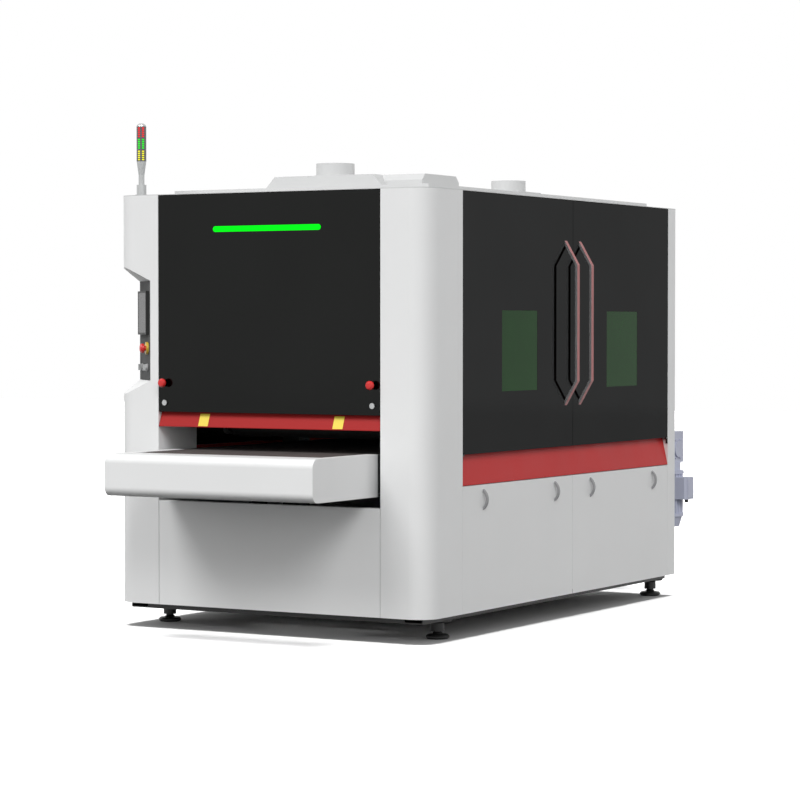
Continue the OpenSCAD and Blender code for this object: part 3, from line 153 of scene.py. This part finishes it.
def set_gloss(tree, shader, factor, low, high):
    """Links a roughness that drifts from low to high with a noise factor."""
    roughness = map_range(tree, factor, NOISE_RANGE, (low, high))
    tree.links.new(roughness, shader.inputs["Roughness"])


def set_bump(tree, shader, height, depth):
    """Links a fine relief of a given depth to the shader."""
    bump = add(tree, "ShaderNodeBump", {"Distance": depth, "Strength": 1.0})
    tree.links.new(height, bump.inputs["Height"])
    tree.links.new(bump.outputs["Normal"], shader.inputs["Normal"])


# Materials

# Noise scales, in features per metre
COAT_PATCHES = 2.3
COAT_GLOSS = 9.0
COAT_GRAIN = 900.0
LENS_PATCHES = 60.0
COLLAR_PATCHES = 30.0
GLASS_PATCHES = 3.0
BELT_PATCHES = 14.0
BELT_THREADS = 260.0
HANDLE_PATCHES = 8.0
HANDLE_LINES = 300.0
BRUSHED_LINES = 400.0

# Detail of the noise, from smooth to rough
LINE_DETAIL = 2.0
COAT_GLOSS_DETAIL = 5.0
BELT_DETAIL = 6.0

# Depths of the relief
COAT_DEPTH = 0.06 * MM
MOULDED_DEPTH = 0.03 * MM
POLISHED_DEPTH = 0.01 * MM
BRUSHED_DEPTH = 0.04 * MM
BELT_DEPTH = 0.3 * MM

# Shares of a colour or of a roughness that a surface drifts between
COAT_PATCH = 0.03
WHITE_PATCH = 0.012
COAT_GLOSS_DRIFT = 0.15
BRUSHED_TONES = (0.9, 1.08)
BRUSHED_GLOSS = (0.8, 1.25)
LENS_DIM = 0.96
LENS_UNLIT = 0.2

PANEL_ROUGHNESS = (0.38, 0.52)
WHITE_SPECULAR = 0.35

WHITE = (0.82, 0.825, 0.825)
# Painted shade: the roof pieces have the same white paint as the rest, made greyer here for the
# strong light on their upturned faces
ROOF_WHITE_SHADED = (0.60, 0.605, 0.605)
BAND_RED = (0.54, 0.032, 0.032)
# Painted shade: the front strip has the same red as the bands, made darker here for the direct
# light on its face
STRIP_RED_SHADED = (0.37, 0.022, 0.022)
# Painted shade: the pulls share the panel's white coat, and this grey stands for the shade on
# them
PULL_SHADE_GREY = (0.34, 0.34, 0.35)
# Painted shade: the front cover has the same gloss black as the doors, made darker here for the
# dimmer light that its face reflects
COVER_BLACK_SHADED = (0.0205, 0.021, 0.0205)
DOOR_BLACK = (0.031, 0.0315, 0.0315)
BLACK_EDGE_TINT = (0.52, 0.52, 0.52, 1.0)
BASE_BLACK = (0.012, 0.012, 0.012)
FRAME_GREY = (0.09, 0.093, 0.095)
PANEL_GREY = (0.075, 0.077, 0.077)
SCREEN_HOUSING = (0.04, 0.041, 0.041)
SCREEN_GLASS = (0.085, 0.085, 0.087)
BUTTON_RED = (0.62, 0.02, 0.02)
BUTTON_GREEN = (0.05, 0.55, 0.08)
KNOB_GREY = (0.45, 0.46, 0.46)
CASTING_BLUE = (0.50, 0.52, 0.64)
RUBBER_BLACK = (0.02, 0.02, 0.02)
ABRASIVE_BROWN = (0.16, 0.05, 0.03)
FLAP_BROWN = (0.12, 0.05, 0.03)
LENS_GREY = (0.11, 0.105, 0.115)
PLATE_YELLOW = (0.80, 0.62, 0.05)
STEEL = (0.62, 0.63, 0.65)
SATIN_STEEL = (0.52, 0.53, 0.53)
SATIN_EDGE_DARK = (0.90, 0.90, 0.91)
SATIN_EDGE_LIGHT = (0.97, 0.97, 0.98)
HANDLE_RED_DARK = (0.36, 0.10, 0.10)
HANDLE_RED_LIGHT = (0.42, 0.12, 0.12)
COLLAR_GREY = (0.35, 0.35, 0.355)
COLLAR_YELLOW_DARK = (0.66, 0.45, 0.035)
COLLAR_YELLOW_LIGHT = (0.74, 0.51, 0.045)
WINDOW_GREEN_DARK = (0.004, 0.055, 0.004)
WINDOW_GREEN_LIGHT = (0.006, 0.068, 0.006)
BELT_DARK = (0.055, 0.046, 0.044)
BELT_LIGHT = (0.085, 0.072, 0.068)
BAR_GREEN = (0.0, 1.0, 0.01)
LAMP_RED = (1.0, 0.02, 0.02)
LAMP_GREEN = (0.01, 1.0, 0.01)
LAMP_YELLOW = (1.0, 0.95, 0.02)

# Face of the lower panels, which the pulls stand out of
SIDE_FACE_X = 845 * MM
PULL_FADE = (SIDE_FACE_X + 0.5 * MM, SIDE_FACE_X + 1.5 * MM)
# Height between the collar of the stop and those of the knobs
COLLAR_SPLIT_Z = 1260 * MM
# Part of a face's direction along Y, where a handle's flat faces turn into its edges
HANDLE_EDGE_TURN = (0.6, 0.7)
# Noise is drawn out into long lines along an axis with a small stretch
UPRIGHT_LINES = (1.0, 1.0, 0.05)
POST_LINES = (1.0, 1.0, 0.03)
TURNED_LINES = (1.0, 0.05, 0.05)


def paint(name, colour, roughness, grain=COAT_GRAIN, depth=COAT_DEPTH, patch=COAT_PATCH,
          **sockets):
    """Powder coat or moulded plastic: a fine grain, faint patches and uneven gloss."""
    material, tree, shader = new_material(name)
    set_colour(tree, shader, mottle(tree, shade(colour, 1.0 - patch), shade(colour, 1.0 + patch),
                                    COAT_PATCHES))
    set_gloss(tree, shader, noise(tree, COAT_GLOSS, COAT_GLOSS_DETAIL),
              roughness * (1.0 - COAT_GLOSS_DRIFT), roughness * (1.0 + COAT_GLOSS_DRIFT))
    set_bump(tree, shader, noise(tree, grain), depth)
    set_sockets(shader, **sockets)
    return material


def brushed(name, colour, roughness, stretch):
    """Drawn or turned metal with fine lines."""
    material, tree, shader = new_material(name)
    lines = noise(tree, BRUSHED_LINES, LINE_DETAIL, stretch)
    dark, light = [shade(colour, share) for share in BRUSHED_TONES]
    set_colour(tree, shader, mix_colour(tree, map_range(tree, lines, NOISE_RANGE), dark, light))
    set_gloss(tree, shader, lines, *[roughness * share for share in BRUSHED_GLOSS])
    set_bump(tree, shader, lines, BRUSHED_DEPTH)
    set_sockets(shader, Metallic=1.0)
    return material


def lit_plastic(name, colour):
    """A lens with light behind it, a little darker in its patches."""
    material, tree, shader = new_material(name)
    glow = mottle(tree, shade(colour, LENS_DIM), colour, LENS_PATCHES)
    tree.links.new(glow, shader.inputs["Emission Color"])
    set_sockets(shader, Base_Color=(*shade(colour, LENS_UNLIT), 1.0), Emission_Strength=1.0,
                Roughness=0.35, Specular_IOR_Level=0.05)
    return material


def handle_metal():
    """A red coat on the flat faces of the bar, and satin edges along it."""
    material, tree, shader = new_material("handle_metal")
    lines = noise(tree, HANDLE_LINES, LINE_DETAIL, UPRIGHT_LINES)
    direction = coordinate(tree, "Normal", "Y")
    size = add(tree, "ShaderNodeMath", operation="ABSOLUTE")
    tree.links.new(direction, size.inputs[0])
    edge = map_range(tree, size.outputs["Value"], HANDLE_EDGE_TURN)
    satin = mix_colour(tree, map_range(tree, lines, NOISE_RANGE), SATIN_EDGE_DARK,
                       SATIN_EDGE_LIGHT)
    coat = mottle(tree, HANDLE_RED_DARK, HANDLE_RED_LIGHT, HANDLE_PATCHES)
    set_colour(tree, shader, mix_colour(tree, edge, coat, satin))
    tree.links.new(edge, shader.inputs["Metallic"])
    set_bump(tree, shader, lines, MOULDED_DEPTH)
    set_sockets(shader, Roughness=0.35)
    return material


def collar_plastic():
    """Yellow for the collar of the stop, and grey for the collars of the knobs below it."""
    material, tree, shader = new_material("panel_collars")
    high = add(tree, "ShaderNodeMath", {1: COLLAR_SPLIT_Z}, operation="GREATER_THAN")
    tree.links.new(coordinate(tree, "Object", "Z"), high.inputs[0])
    yellow = mottle(tree, COLLAR_YELLOW_DARK, COLLAR_YELLOW_LIGHT, COLLAR_PATCHES)
    set_colour(tree, shader, mix_colour(tree, high.outputs["Value"], COLLAR_GREY, yellow))
    set_bump(tree, shader, noise(tree, COAT_GRAIN), MOULDED_DEPTH)
    set_sockets(shader, Roughness=0.35)
    return material


def pulled_panel():
    """White coat on the panel, and painted shade: a darker grey on the pulls that stand out of
    its face.
    """
    material, tree, shader = new_material("white_panel_shaded_pulls")
    proud = map_range(tree, coordinate(tree, "Object", "X"), PULL_FADE)
    coat = mottle(tree, shade(WHITE, 1.0 - WHITE_PATCH), shade(WHITE, 1.0 + WHITE_PATCH),
                  COAT_PATCHES)
    set_colour(tree, shader, mix_colour(tree, proud, coat, PULL_SHADE_GREY))
    set_gloss(tree, shader, noise(tree, COAT_GLOSS, COAT_GLOSS_DETAIL), *PANEL_ROUGHNESS)
    set_bump(tree, shader, noise(tree, COAT_GRAIN), COAT_DEPTH)
    set_sockets(shader, Specular_IOR_Level=WHITE_SPECULAR)
    return material


def tinted_glass():
    """Dark green safety pane that lets a little of the inside show."""
    material, tree, shader = new_material("green_glass")
    set_colour(tree, shader, mottle(tree, WINDOW_GREEN_DARK, WINDOW_GREEN_LIGHT, GLASS_PATCHES))
    set_sockets(shader, Roughness=0.05, Transmission_Weight=0.15, Specular_IOR_Level=0.04)
    return material


def belt_cloth():
    """Woven belt: two crossed waves of threads with worn patches."""
    material, tree, shader = new_material("conveyor_cloth")
    place = add(tree, "ShaderNodeTexCoord")
    weave = add(tree, "ShaderNodeMath", operation="MULTIPLY")
    for index, direction in enumerate(("X", "Y")):
        threads = add(tree, "ShaderNodeTexWave", {"Scale": BELT_THREADS},
                      bands_direction=direction)
        tree.links.new(place.outputs["Object"], threads.inputs["Vector"])
        tree.links.new(threads.outputs["Fac"], weave.inputs[index])
    set_colour(tree, shader, mottle(tree, BELT_DARK, BELT_LIGHT, BELT_PATCHES, BELT_DETAIL))
    set_bump(tree, shader, weave.outputs["Value"], BELT_DEPTH)
    set_sockets(shader, Roughness=0.75)
    return material


white_paint = paint("white_powder_coat", WHITE, roughness=0.45, patch=WHITE_PATCH,
                    Specular_IOR_Level=WHITE_SPECULAR)
# Painted shade: a greyer copy of the white paint for the roof pieces, which face the light from
# above
roof_paint_shaded = paint("roof_coat_shaded", ROOF_WHITE_SHADED, roughness=0.5, patch=WHITE_PATCH,
                   Specular_IOR_Level=0.2)

# The gloss black is a dark metal with a weak edge, because a plain gloss over black turns pale
# where it is seen at a slant
# Painted shade: the front cover's copy of the gloss black is darker than the doors' copy, for
# the dimmer light it reflects
cover_black_shaded = paint("black_front_gloss_shaded", COVER_BLACK_SHADED, roughness=0.10, depth=0.02 * MM,
                    Metallic=1.0, Specular_Tint=BLACK_EDGE_TINT)
door_black = paint("black_door_gloss", DOOR_BLACK, roughness=0.06, depth=POLISHED_DEPTH,
                   Metallic=1.0, Specular_Tint=BLACK_EDGE_TINT)

base_black = paint("black_frame_coat", BASE_BLACK, roughness=0.4)
frame_grey = paint("grey_frame_coat", FRAME_GREY, roughness=0.5)
panel_grey = paint("grey_panel_coat", PANEL_GREY, roughness=0.55, Specular_IOR_Level=0.04)
band_paint = paint("red_gloss_coat", BAND_RED, roughness=0.35, Specular_IOR_Level=0.1)
# Painted shade: a darker copy of the band red for the front strip, which faces the light
strip_paint_shaded = paint("red_strip_coat_shaded", STRIP_RED_SHADED, roughness=0.35, Specular_IOR_Level=0.1)
screen_plastic = paint("screen_housing", SCREEN_HOUSING, roughness=0.4, grain=1500.0,
                       Specular_IOR_Level=0.05)
screen_glass = paint("screen_glass", SCREEN_GLASS, roughness=0.2, depth=POLISHED_DEPTH,
                     Specular_IOR_Level=0.04)
red_plastic = paint("red_button", BUTTON_RED, roughness=0.25, depth=POLISHED_DEPTH)
green_plastic = paint("green_button", BUTTON_GREEN, roughness=0.25, depth=POLISHED_DEPTH)
knob_plastic = paint("knob_grey", KNOB_GREY, roughness=0.3)
motor_paint = paint("blue_grey_casting", CASTING_BLUE, roughness=0.45, grain=350.0,
                    depth=0.15 * MM)
rubber = paint("roller_rubber", RUBBER_BLACK, roughness=0.7, grain=1200.0, depth=0.1 * MM)
abrasive = paint("abrasive_grain", ABRASIVE_BROWN, roughness=0.8, grain=1800.0,
                 depth=0.5 * MM, patch=0.15)
flap_cloth = paint("abrasive_flaps", FLAP_BROWN, roughness=0.85, grain=1200.0,
                   depth=0.6 * MM, patch=0.2)
lens_plastic = paint("lamp_lens", LENS_GREY, roughness=0.2, depth=POLISHED_DEPTH)
yellow_plate = paint("yellow_plate", PLATE_YELLOW, roughness=0.4, depth=POLISHED_DEPTH)
turned_steel = brushed("turned_steel", STEEL, roughness=0.25, stretch=TURNED_LINES)
post_metal = brushed("satin_post", SATIN_STEEL, roughness=0.3, stretch=POST_LINES)
bar_light = lit_plastic("light_bar_lens", BAR_GREEN)
red_lamp = lit_plastic("lamp_red", LAMP_RED)
green_lamp = lit_plastic("lamp_green", LAMP_GREEN)
yellow_lamp = lit_plastic("lamp_yellow", LAMP_YELLOW)

NODE_MATERIALS = {
    white_paint: ["front_left_column", "front_right_column", "rear_columns", "lower_panels",
                  "rear_panels", "nose_covers"],
    roof_paint_shaded: ["roof_panel", "roof_covers", "duct_spigots"],
    pulled_panel(): ["right_front_lower_panel", "right_rear_lower_panel"],
    cover_black_shaded: ["front_cover"],
    door_black: ["right_front_door", "right_rear_door", "left_front_door", "left_rear_door"],
    base_black: ["base_frame", "foot_pads", "foot_studs", "pivot_brackets"],
    frame_grey: ["main_frame", "head_frames", "lift_columns", "table_frame"],
    panel_grey: ["control_panel"],
    band_paint: ["red_bands"],
    strip_paint_shaded: ["front_red_strip"],
    screen_plastic: ["control_screen"],
    collar_plastic(): ["panel_button_collars"],
    post_metal: ["stack_light_post", "cover_lock_left", "cover_lock_right", "bearing_housings"],
    lens_plastic: ["stack_light_lenses"],
    bar_light: ["light_bar"],
    red_plastic: ["front_stop_left", "front_stop_right", "panel_stop"],
    green_plastic: ["start_button"],
    knob_plastic: ["mode_knob", "speed_knob"],
    tinted_glass(): ["right_front_window", "right_rear_window"],
    handle_metal(): ["right_front_handle", "right_rear_handle", "left_front_handle",
                     "left_rear_handle"],
    belt_cloth(): ["conveyor_belt"],
    rubber: ["drive_roller", "front_contact_drum", "rear_contact_drum", "front_pinch_roller",
             "rear_pinch_roller"],
    turned_steel: ["idler_roller", "front_tension_roller", "rear_tension_roller"],
    motor_paint: ["gear_motor", "head_motors"],
    abrasive: ["abrasive_belts"],
    flap_cloth: ["brush_roller"],
}
for material, names in NODE_MATERIALS.items():
    for name in names:
        nodes[name].data.materials.clear()
        nodes[name].data.materials.append(material)


# Shapes

BEVEL_STEPS = 2
DISC_SIDES = 24
DISC_TAPER = 0.86


def make_piece(name, mesh_data, material, body):
    """Turns a bmesh into a piece that rides on a body."""
    mesh = bpy.data.meshes.new(name)
    bmesh.ops.recalc_face_normals(mesh_data, faces=mesh_data.faces)
    mesh_data.to_mesh(mesh)
    mesh_data.free()
    mesh.materials.append(material)
    piece = bpy.data.objects.new(name, mesh)
    bpy.context.scene.collection.objects.link(piece)
    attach(piece, body)


def add_block(mesh_data, low, high, bevel, place=Matrix.Identity(4)):
    """A box between two corners with bevelled edges, moved by a matrix."""
    size = Vector(high) - Vector(low)
    middle = (Vector(high) + Vector(low)) / 2
    cube = Matrix.Translation(middle) @ Matrix.Diagonal((*size, 1.0))
    made = bmesh.ops.create_cube(mesh_data, size=1.0, matrix=place @ cube)
    edges = list(dict.fromkeys(edge for vert in made["verts"] for edge in vert.link_edges))
    bmesh.ops.bevel(mesh_data, geom=edges, offset=bevel, segments=BEVEL_STEPS, affect="EDGES")


def add_disc(mesh_data, centre, axis, radius, length, sides=DISC_SIDES):
    """A short cylinder about a centre, a little narrower at the end that its axis points to."""
    turn = Vector(axis).to_track_quat("Z", "Y").to_matrix().to_4x4()
    bmesh.ops.create_cone(mesh_data, cap_ends=True, segments=sides, radius1=radius,
                          radius2=radius * DISC_TAPER, depth=length,
                          matrix=Matrix.Translation(centre) @ turn)


# Front cover: bare yellow plates that lean against the slope of the red strip

PLATE_WIDTH = 53 * MM
PLATE_HEIGHT = 62 * MM
PLATE_THICK = 1.0 * MM
PLATE_FOOT = 1.5 * MM
PLATE_BEVEL = 0.3 * MM
PLATE_PLACES = (-351 * MM, 376 * MM)
STRIP_RECESS = 25 * MM
STRIP_LIP = 3 * MM


def strip_plates():
    low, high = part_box("front_red_strip")
    slope_z = low.z + STRIP_LIP
    lean = math.atan2(STRIP_RECESS, high.z - slope_z)
    place = Matrix.Translation((0, low.y, slope_z)) @ Matrix.Rotation(-lean, 4, "X")
    mesh_data = bmesh.new()
    for x in PLATE_PLACES:
        add_block(mesh_data, (x - PLATE_WIDTH / 2, -PLATE_THICK, PLATE_FOOT),
                  (x + PLATE_WIDTH / 2, 0, PLATE_HEIGHT), PLATE_BEVEL, place)
    make_piece("strip_plates", mesh_data, yellow_plate, "front_cover")


strip_plates()

# Table: painted shade, dark rubber blocks that fill the slots across the tops of the noses,
# where the slots hold only shade

SLOT_FROM_END = 74 * MM
SLOT_WIDTH = 12 * MM
SLOT_SHADE_HALF_X = 528 * MM
SLOT_SHADE_DEPTH = 12 * MM
SLOT_SHADE_SINK = 1.2 * MM
SLOT_SHADE_OUTER_GAP = 0.5 * MM
SLOT_SHADE_INNER_GAP = 3.5 * MM
SLOT_SHADE_BEVEL = 0.5 * MM


def nose_slot_shades():
    low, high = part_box("nose_covers")
    top = high.z - SLOT_SHADE_SINK
    mesh_data = bmesh.new()
    for end, step in ((low.y, 1), (high.y, -1)):
        near, far = sorted((end + step * (SLOT_FROM_END + SLOT_SHADE_OUTER_GAP),
                            end + step * (SLOT_FROM_END + SLOT_WIDTH - SLOT_SHADE_INNER_GAP)))
        add_block(mesh_data, (-SLOT_SHADE_HALF_X, near, top - SLOT_SHADE_DEPTH),
                  (SLOT_SHADE_HALF_X, far, top), SLOT_SHADE_BEVEL)
    make_piece("nose_slot_shades", mesh_data, rubber, "table")


nose_slot_shades()

# Cabinet: rubber seals on the red bands, under the doors' lower edges

DOOR_BOTTOM_Z = 833 * MM
SEAL_TOP_GAP = 0.3 * MM
SEAL_FOOT_GAP = 0.1 * MM
SEAL_END_GAP = 4 * MM
SEAL_X = (797 * MM, 831 * MM)
SEAL_BEVEL = 0.5 * MM


def door_seals():
    low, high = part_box("red_bands")
    mesh_data = bmesh.new()
    for side in (-1, 1):
        near, far = sorted(side * x for x in SEAL_X)
        add_block(mesh_data, (near, low.y + SEAL_END_GAP, high.z + SEAL_FOOT_GAP),
                  (far, high.y - SEAL_END_GAP, DOOR_BOTTOM_Z - SEAL_TOP_GAP), SEAL_BEVEL)
    make_piece("door_seals", mesh_data, rubber, "cabinet")


door_seals()

# Gear motor: lid, lid screws and cable gland of the terminal box

MOTOR_Y = 1560 * MM
BOX_HALF_Y = 37 * MM
BOX_Z = (498 * MM, 599 * MM)
LID_THICK = 2.5 * MM
LID_BEVEL = 1.2 * MM
LID_SCREW_INSET = 9 * MM
LID_SCREW_R = 3.5 * MM
LID_SCREW_LENGTH = 2 * MM
LID_SCREW_LIFT = 0.5 * MM
GLAND_X = 801 * MM
GLAND_Z = 481 * MM
GLAND_R = 11 * MM
GLAND_LENGTH = 18 * MM
GLAND_SIDES = 6


def terminal_box():
    face_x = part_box("gear_motor")[1].x
    box_y = (MOTOR_Y - BOX_HALF_Y, MOTOR_Y + BOX_HALF_Y)
    lid = bmesh.new()
    add_block(lid, (face_x, box_y[0], BOX_Z[0]), (face_x + LID_THICK, box_y[1], BOX_Z[1]),
              LID_BEVEL)
    make_piece("terminal_box_lid", lid, motor_paint, "table")
    screws = bmesh.new()
    for y in (box_y[0] + LID_SCREW_INSET, box_y[1] - LID_SCREW_INSET):
        for z in (BOX_Z[0] + LID_SCREW_INSET, BOX_Z[1] - LID_SCREW_INSET):
            add_disc(screws, (face_x + LID_THICK + LID_SCREW_LIFT, y, z), (1, 0, 0),
                     LID_SCREW_R, LID_SCREW_LENGTH)
    make_piece("terminal_box_screws", screws, turned_steel, "table")
    gland = bmesh.new()
    add_disc(gland, (GLAND_X, MOTOR_Y, GLAND_Z), (0, 0, -1), GLAND_R, GLAND_LENGTH, GLAND_SIDES)
    make_piece("terminal_box_gland", gland, base_black, "table")


terminal_box()

# Rear panels: button-head screws along both edges

SCREW_X = 577 * MM
SCREW_HEIGHTS = (150 * MM, 350 * MM, 560 * MM, 1060 * MM, 1380 * MM, 1700 * MM, 1985 * MM)
SCREW_R = 6 * MM
SCREW_HEAD = 3 * MM
SCREW_SINK = 0.2 * MM


def rear_screws():
    head_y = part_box("rear_panels")[1].y + SCREW_HEAD / 2 - SCREW_SINK
    mesh_data = bmesh.new()
    for x in (-SCREW_X, SCREW_X):
        for z in SCREW_HEIGHTS:
            add_disc(mesh_data, (x, head_y, z), (0, 1, 0), SCREW_R, SCREW_HEAD)
    make_piece("rear_panel_screws", mesh_data, turned_steel, "cabinet")


rear_screws()

# Control screen: a glass pane in the recess of its housing, on the panel across the corner

CORNER_PLACE = (-745 * MM, -1218 * MM)
CORNER_TURN = math.radians(-45)
PANEL_THICK = 2 * MM
SCREEN_WIDTH = 222 * MM
SCREEN_HEIGHT = 205 * MM
SCREEN_THICK = 15 * MM
SCREEN_SINK = 1.5 * MM
SCREEN_SHIFT = 2 * MM
PANE_MARGIN = 9 * MM
PANE_THICK = 1.0 * MM
PANE_LIFT = 0.6 * MM
PANE_BEVEL = 0.4 * MM


def screen_pane():
    low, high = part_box("control_screen")
    half_w = SCREEN_WIDTH / 2 - PANE_MARGIN
    half_h = SCREEN_HEIGHT / 2 - PANE_MARGIN
    face = PANEL_THICK + SCREEN_THICK - SCREEN_SINK + PANE_LIFT
    place = (Matrix.Translation((*CORNER_PLACE, (low.z + high.z) / 2))
             @ Matrix.Rotation(CORNER_TURN, 4, "Z")
             @ Matrix.Translation((SCREEN_SHIFT, 0, 0)))
    mesh_data = bmesh.new()
    add_block(mesh_data, (-half_w, -face, -half_h), (half_w, PANE_THICK - face, half_h),
              PANE_BEVEL, place)
    make_piece("screen_pane", mesh_data, screen_glass, "cabinet")


screen_pane()

# Stack light: rows of small lit blocks in the wall of each lens

LED_ROWS = 5
LED_WIDTH = 10.5 * MM
LED_HEIGHT = 6.8 * MM
LED_PITCH = 9.8 * MM
LED_PROUD = 0.5 * MM
LED_DEPTH = 2 * MM
LED_BEVEL = 0.8 * MM
LED_DIRECTIONS = (5.0, 55.0, 185.0, 235.0)


def stack_lamps():
    low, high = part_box("stack_light_lenses")
    centre = (low + high) / 2
    radius = (high.x - low.x) / 2
    lamps = (("yellow", yellow_lamp), ("green", green_lamp), ("red", red_lamp))
    lens_height = (high.z - low.z) / len(lamps)
    for tier, (name, material) in enumerate(lamps):
        middle_z = low.z + (tier + 0.5) * lens_height
        mesh_data = bmesh.new()
        for row in range(LED_ROWS):
            z = middle_z + (row - (LED_ROWS - 1) / 2) * LED_PITCH
            for direction in LED_DIRECTIONS:
                turn = Matrix.Rotation(math.radians(direction), 4, "Z")
                add_block(mesh_data, (-LED_WIDTH / 2, -radius - LED_PROUD, -LED_HEIGHT / 2),
                          (LED_WIDTH / 2, LED_DEPTH - radius, LED_HEIGHT / 2), LED_BEVEL,
                          Matrix.Translation((centre.x, centre.y, z)) @ turn)
        make_piece(f"stack_lamps_{name}", mesh_data, material, "cabinet")


stack_lamps()

# Stage: floor, world, lamps and camera

FLOOR_SIZE = 60.0
# Whiteness of the floor as it is seen, as it is mirrored, and for the light that it throws back
FLOOR_SEEN = 0.90
FLOOR_MIRRORED = 0.36
FLOOR_BOUNCE = 0.03

# Strength of the world at the horizon, straight above, and where it is seen
SKY_LOW = 1.08
SKY_TOP = 0.15
SKY_SEEN = 1.0

# Share of full light on a surface that faces the sun, direction towards it, and its softness
KEY_LEVEL = 0.52
KEY_FROM = (-0.321, -0.557, 0.766)
FILL_LEVEL = 0.38
FILL_FROM = (0.557, -0.557, 0.616)
FLOOR_LEVEL = 1.9
FLOOR_FROM = (-0.03, 0.0, 1.0)
SIDE_SPREAD = math.radians(28)
FLOOR_SPREAD = math.radians(24)
CASTS_NO_FLOOR_SHADOW = ("nose_covers", "table_frame", "conveyor_belt", "gear_motor")

CAMERA_PLACE = (6.691, -11.685, 1.4074)
CAMERA_TURN = math.radians(30.02)
CAMERA_TILT = math.radians(90 - 1.548)
FOCAL_LENGTH_MM = 121.89
SENSOR_WIDTH_MM = 36.0
CLIP_END = 200.0


def make_floor():
    bpy.ops.mesh.primitive_plane_add(size=FLOOR_SIZE, location=(0, 0, 0))
    floor = bpy.context.object
    floor.name = "floor"
    material, tree, shader = new_material("floor_white")
    seen = mix_colour(tree, seen_rays(tree), (FLOOR_BOUNCE,) * 3, (FLOOR_SEEN,) * 3)
    set_colour(tree, shader, mix_colour(tree, reflected_rays(tree), seen, (FLOOR_MIRRORED,) * 3))
    set_sockets(shader, Roughness=1.0, Specular_IOR_Level=0.0)
    floor.data.materials.append(material)
    return floor


def make_world():
    """White where it is seen, and a soft light that is weaker from above than from the sides."""
    world = bpy.data.worlds.new("studio")
    bpy.context.scene.world = world
    world.use_nodes = True
    tree = world.node_tree
    background = tree.nodes["Background"]
    sky = map_range(tree, coordinate(tree, "Generated", "Z"), to_range=(SKY_LOW, SKY_TOP))
    level = add(tree, "ShaderNodeMix", {"B": SKY_SEEN})
    tree.links.new(seen_rays(tree), level.inputs["Factor"])
    tree.links.new(sky, level.inputs["A"])
    tree.links.new(level.outputs["Result"], background.inputs["Strength"])
    set_sockets(background, Color=(1.0, 1.0, 1.0, 1.0))


def make_sun(name, direction, level, spread):
    """A soft sun that shines from a direction, given as a vector towards it."""
    lamp = bpy.data.lights.new(name, "SUN")
    lamp.energy = level * math.pi
    lamp.angle = spread
    sun = bpy.data.objects.new(name, lamp)
    bpy.context.scene.collection.objects.link(sun)
    sun.rotation_mode = "QUATERNION"
    sun.rotation_quaternion = Vector(direction).to_track_quat("Z", "Y")
    return sun


def light_set(name, objects, state="INCLUDE"):
    """A collection that a lamp's light or shadow is limited to, or that it leaves out."""
    collection = bpy.data.collections.new(name)
    for obj in objects:
        collection.objects.link(obj)
    for entry in collection.collection_objects:
        entry.light_linking.link_state = state
    return collection


def make_lights(floor):
    """A key from the front left, a fill from the front right, and a sun for the floor alone.

    The floor's sun passes the pieces that stand out at the ends, so its shadow is the cabinet's.
    """
    not_floor = light_set("not_floor", [floor], "EXCLUDE")
    for name, direction, level in (("key_sun", KEY_FROM, KEY_LEVEL),
                                   ("fill_sun", FILL_FROM, FILL_LEVEL)):
        sun = make_sun(name, direction, level, SIDE_SPREAD)
        sun.light_linking.receiver_collection = not_floor
    above = make_sun("floor_sun", FLOOR_FROM, FLOOR_LEVEL, FLOOR_SPREAD)
    above.light_linking.receiver_collection = light_set("floor_only", [floor])
    above.light_linking.blocker_collection = light_set(
        "no_floor_shadow", [nodes[name] for name in CASTS_NO_FLOOR_SHADOW], "EXCLUDE")


def make_camera():
    lens = bpy.data.cameras.new("camera")
    lens.lens = FOCAL_LENGTH_MM
    lens.sensor_width = SENSOR_WIDTH_MM
    lens.clip_end = CLIP_END
    camera = bpy.data.objects.new("camera", lens)
    bpy.context.scene.collection.objects.link(camera)
    camera.location = CAMERA_PLACE
    camera.rotation_euler = (CAMERA_TILT, 0, CAMERA_TURN)
    bpy.context.scene.camera = camera


make_world()
make_lights(make_floor())
make_camera()
bpy.context.scene.view_settings.view_transform = "Standard"
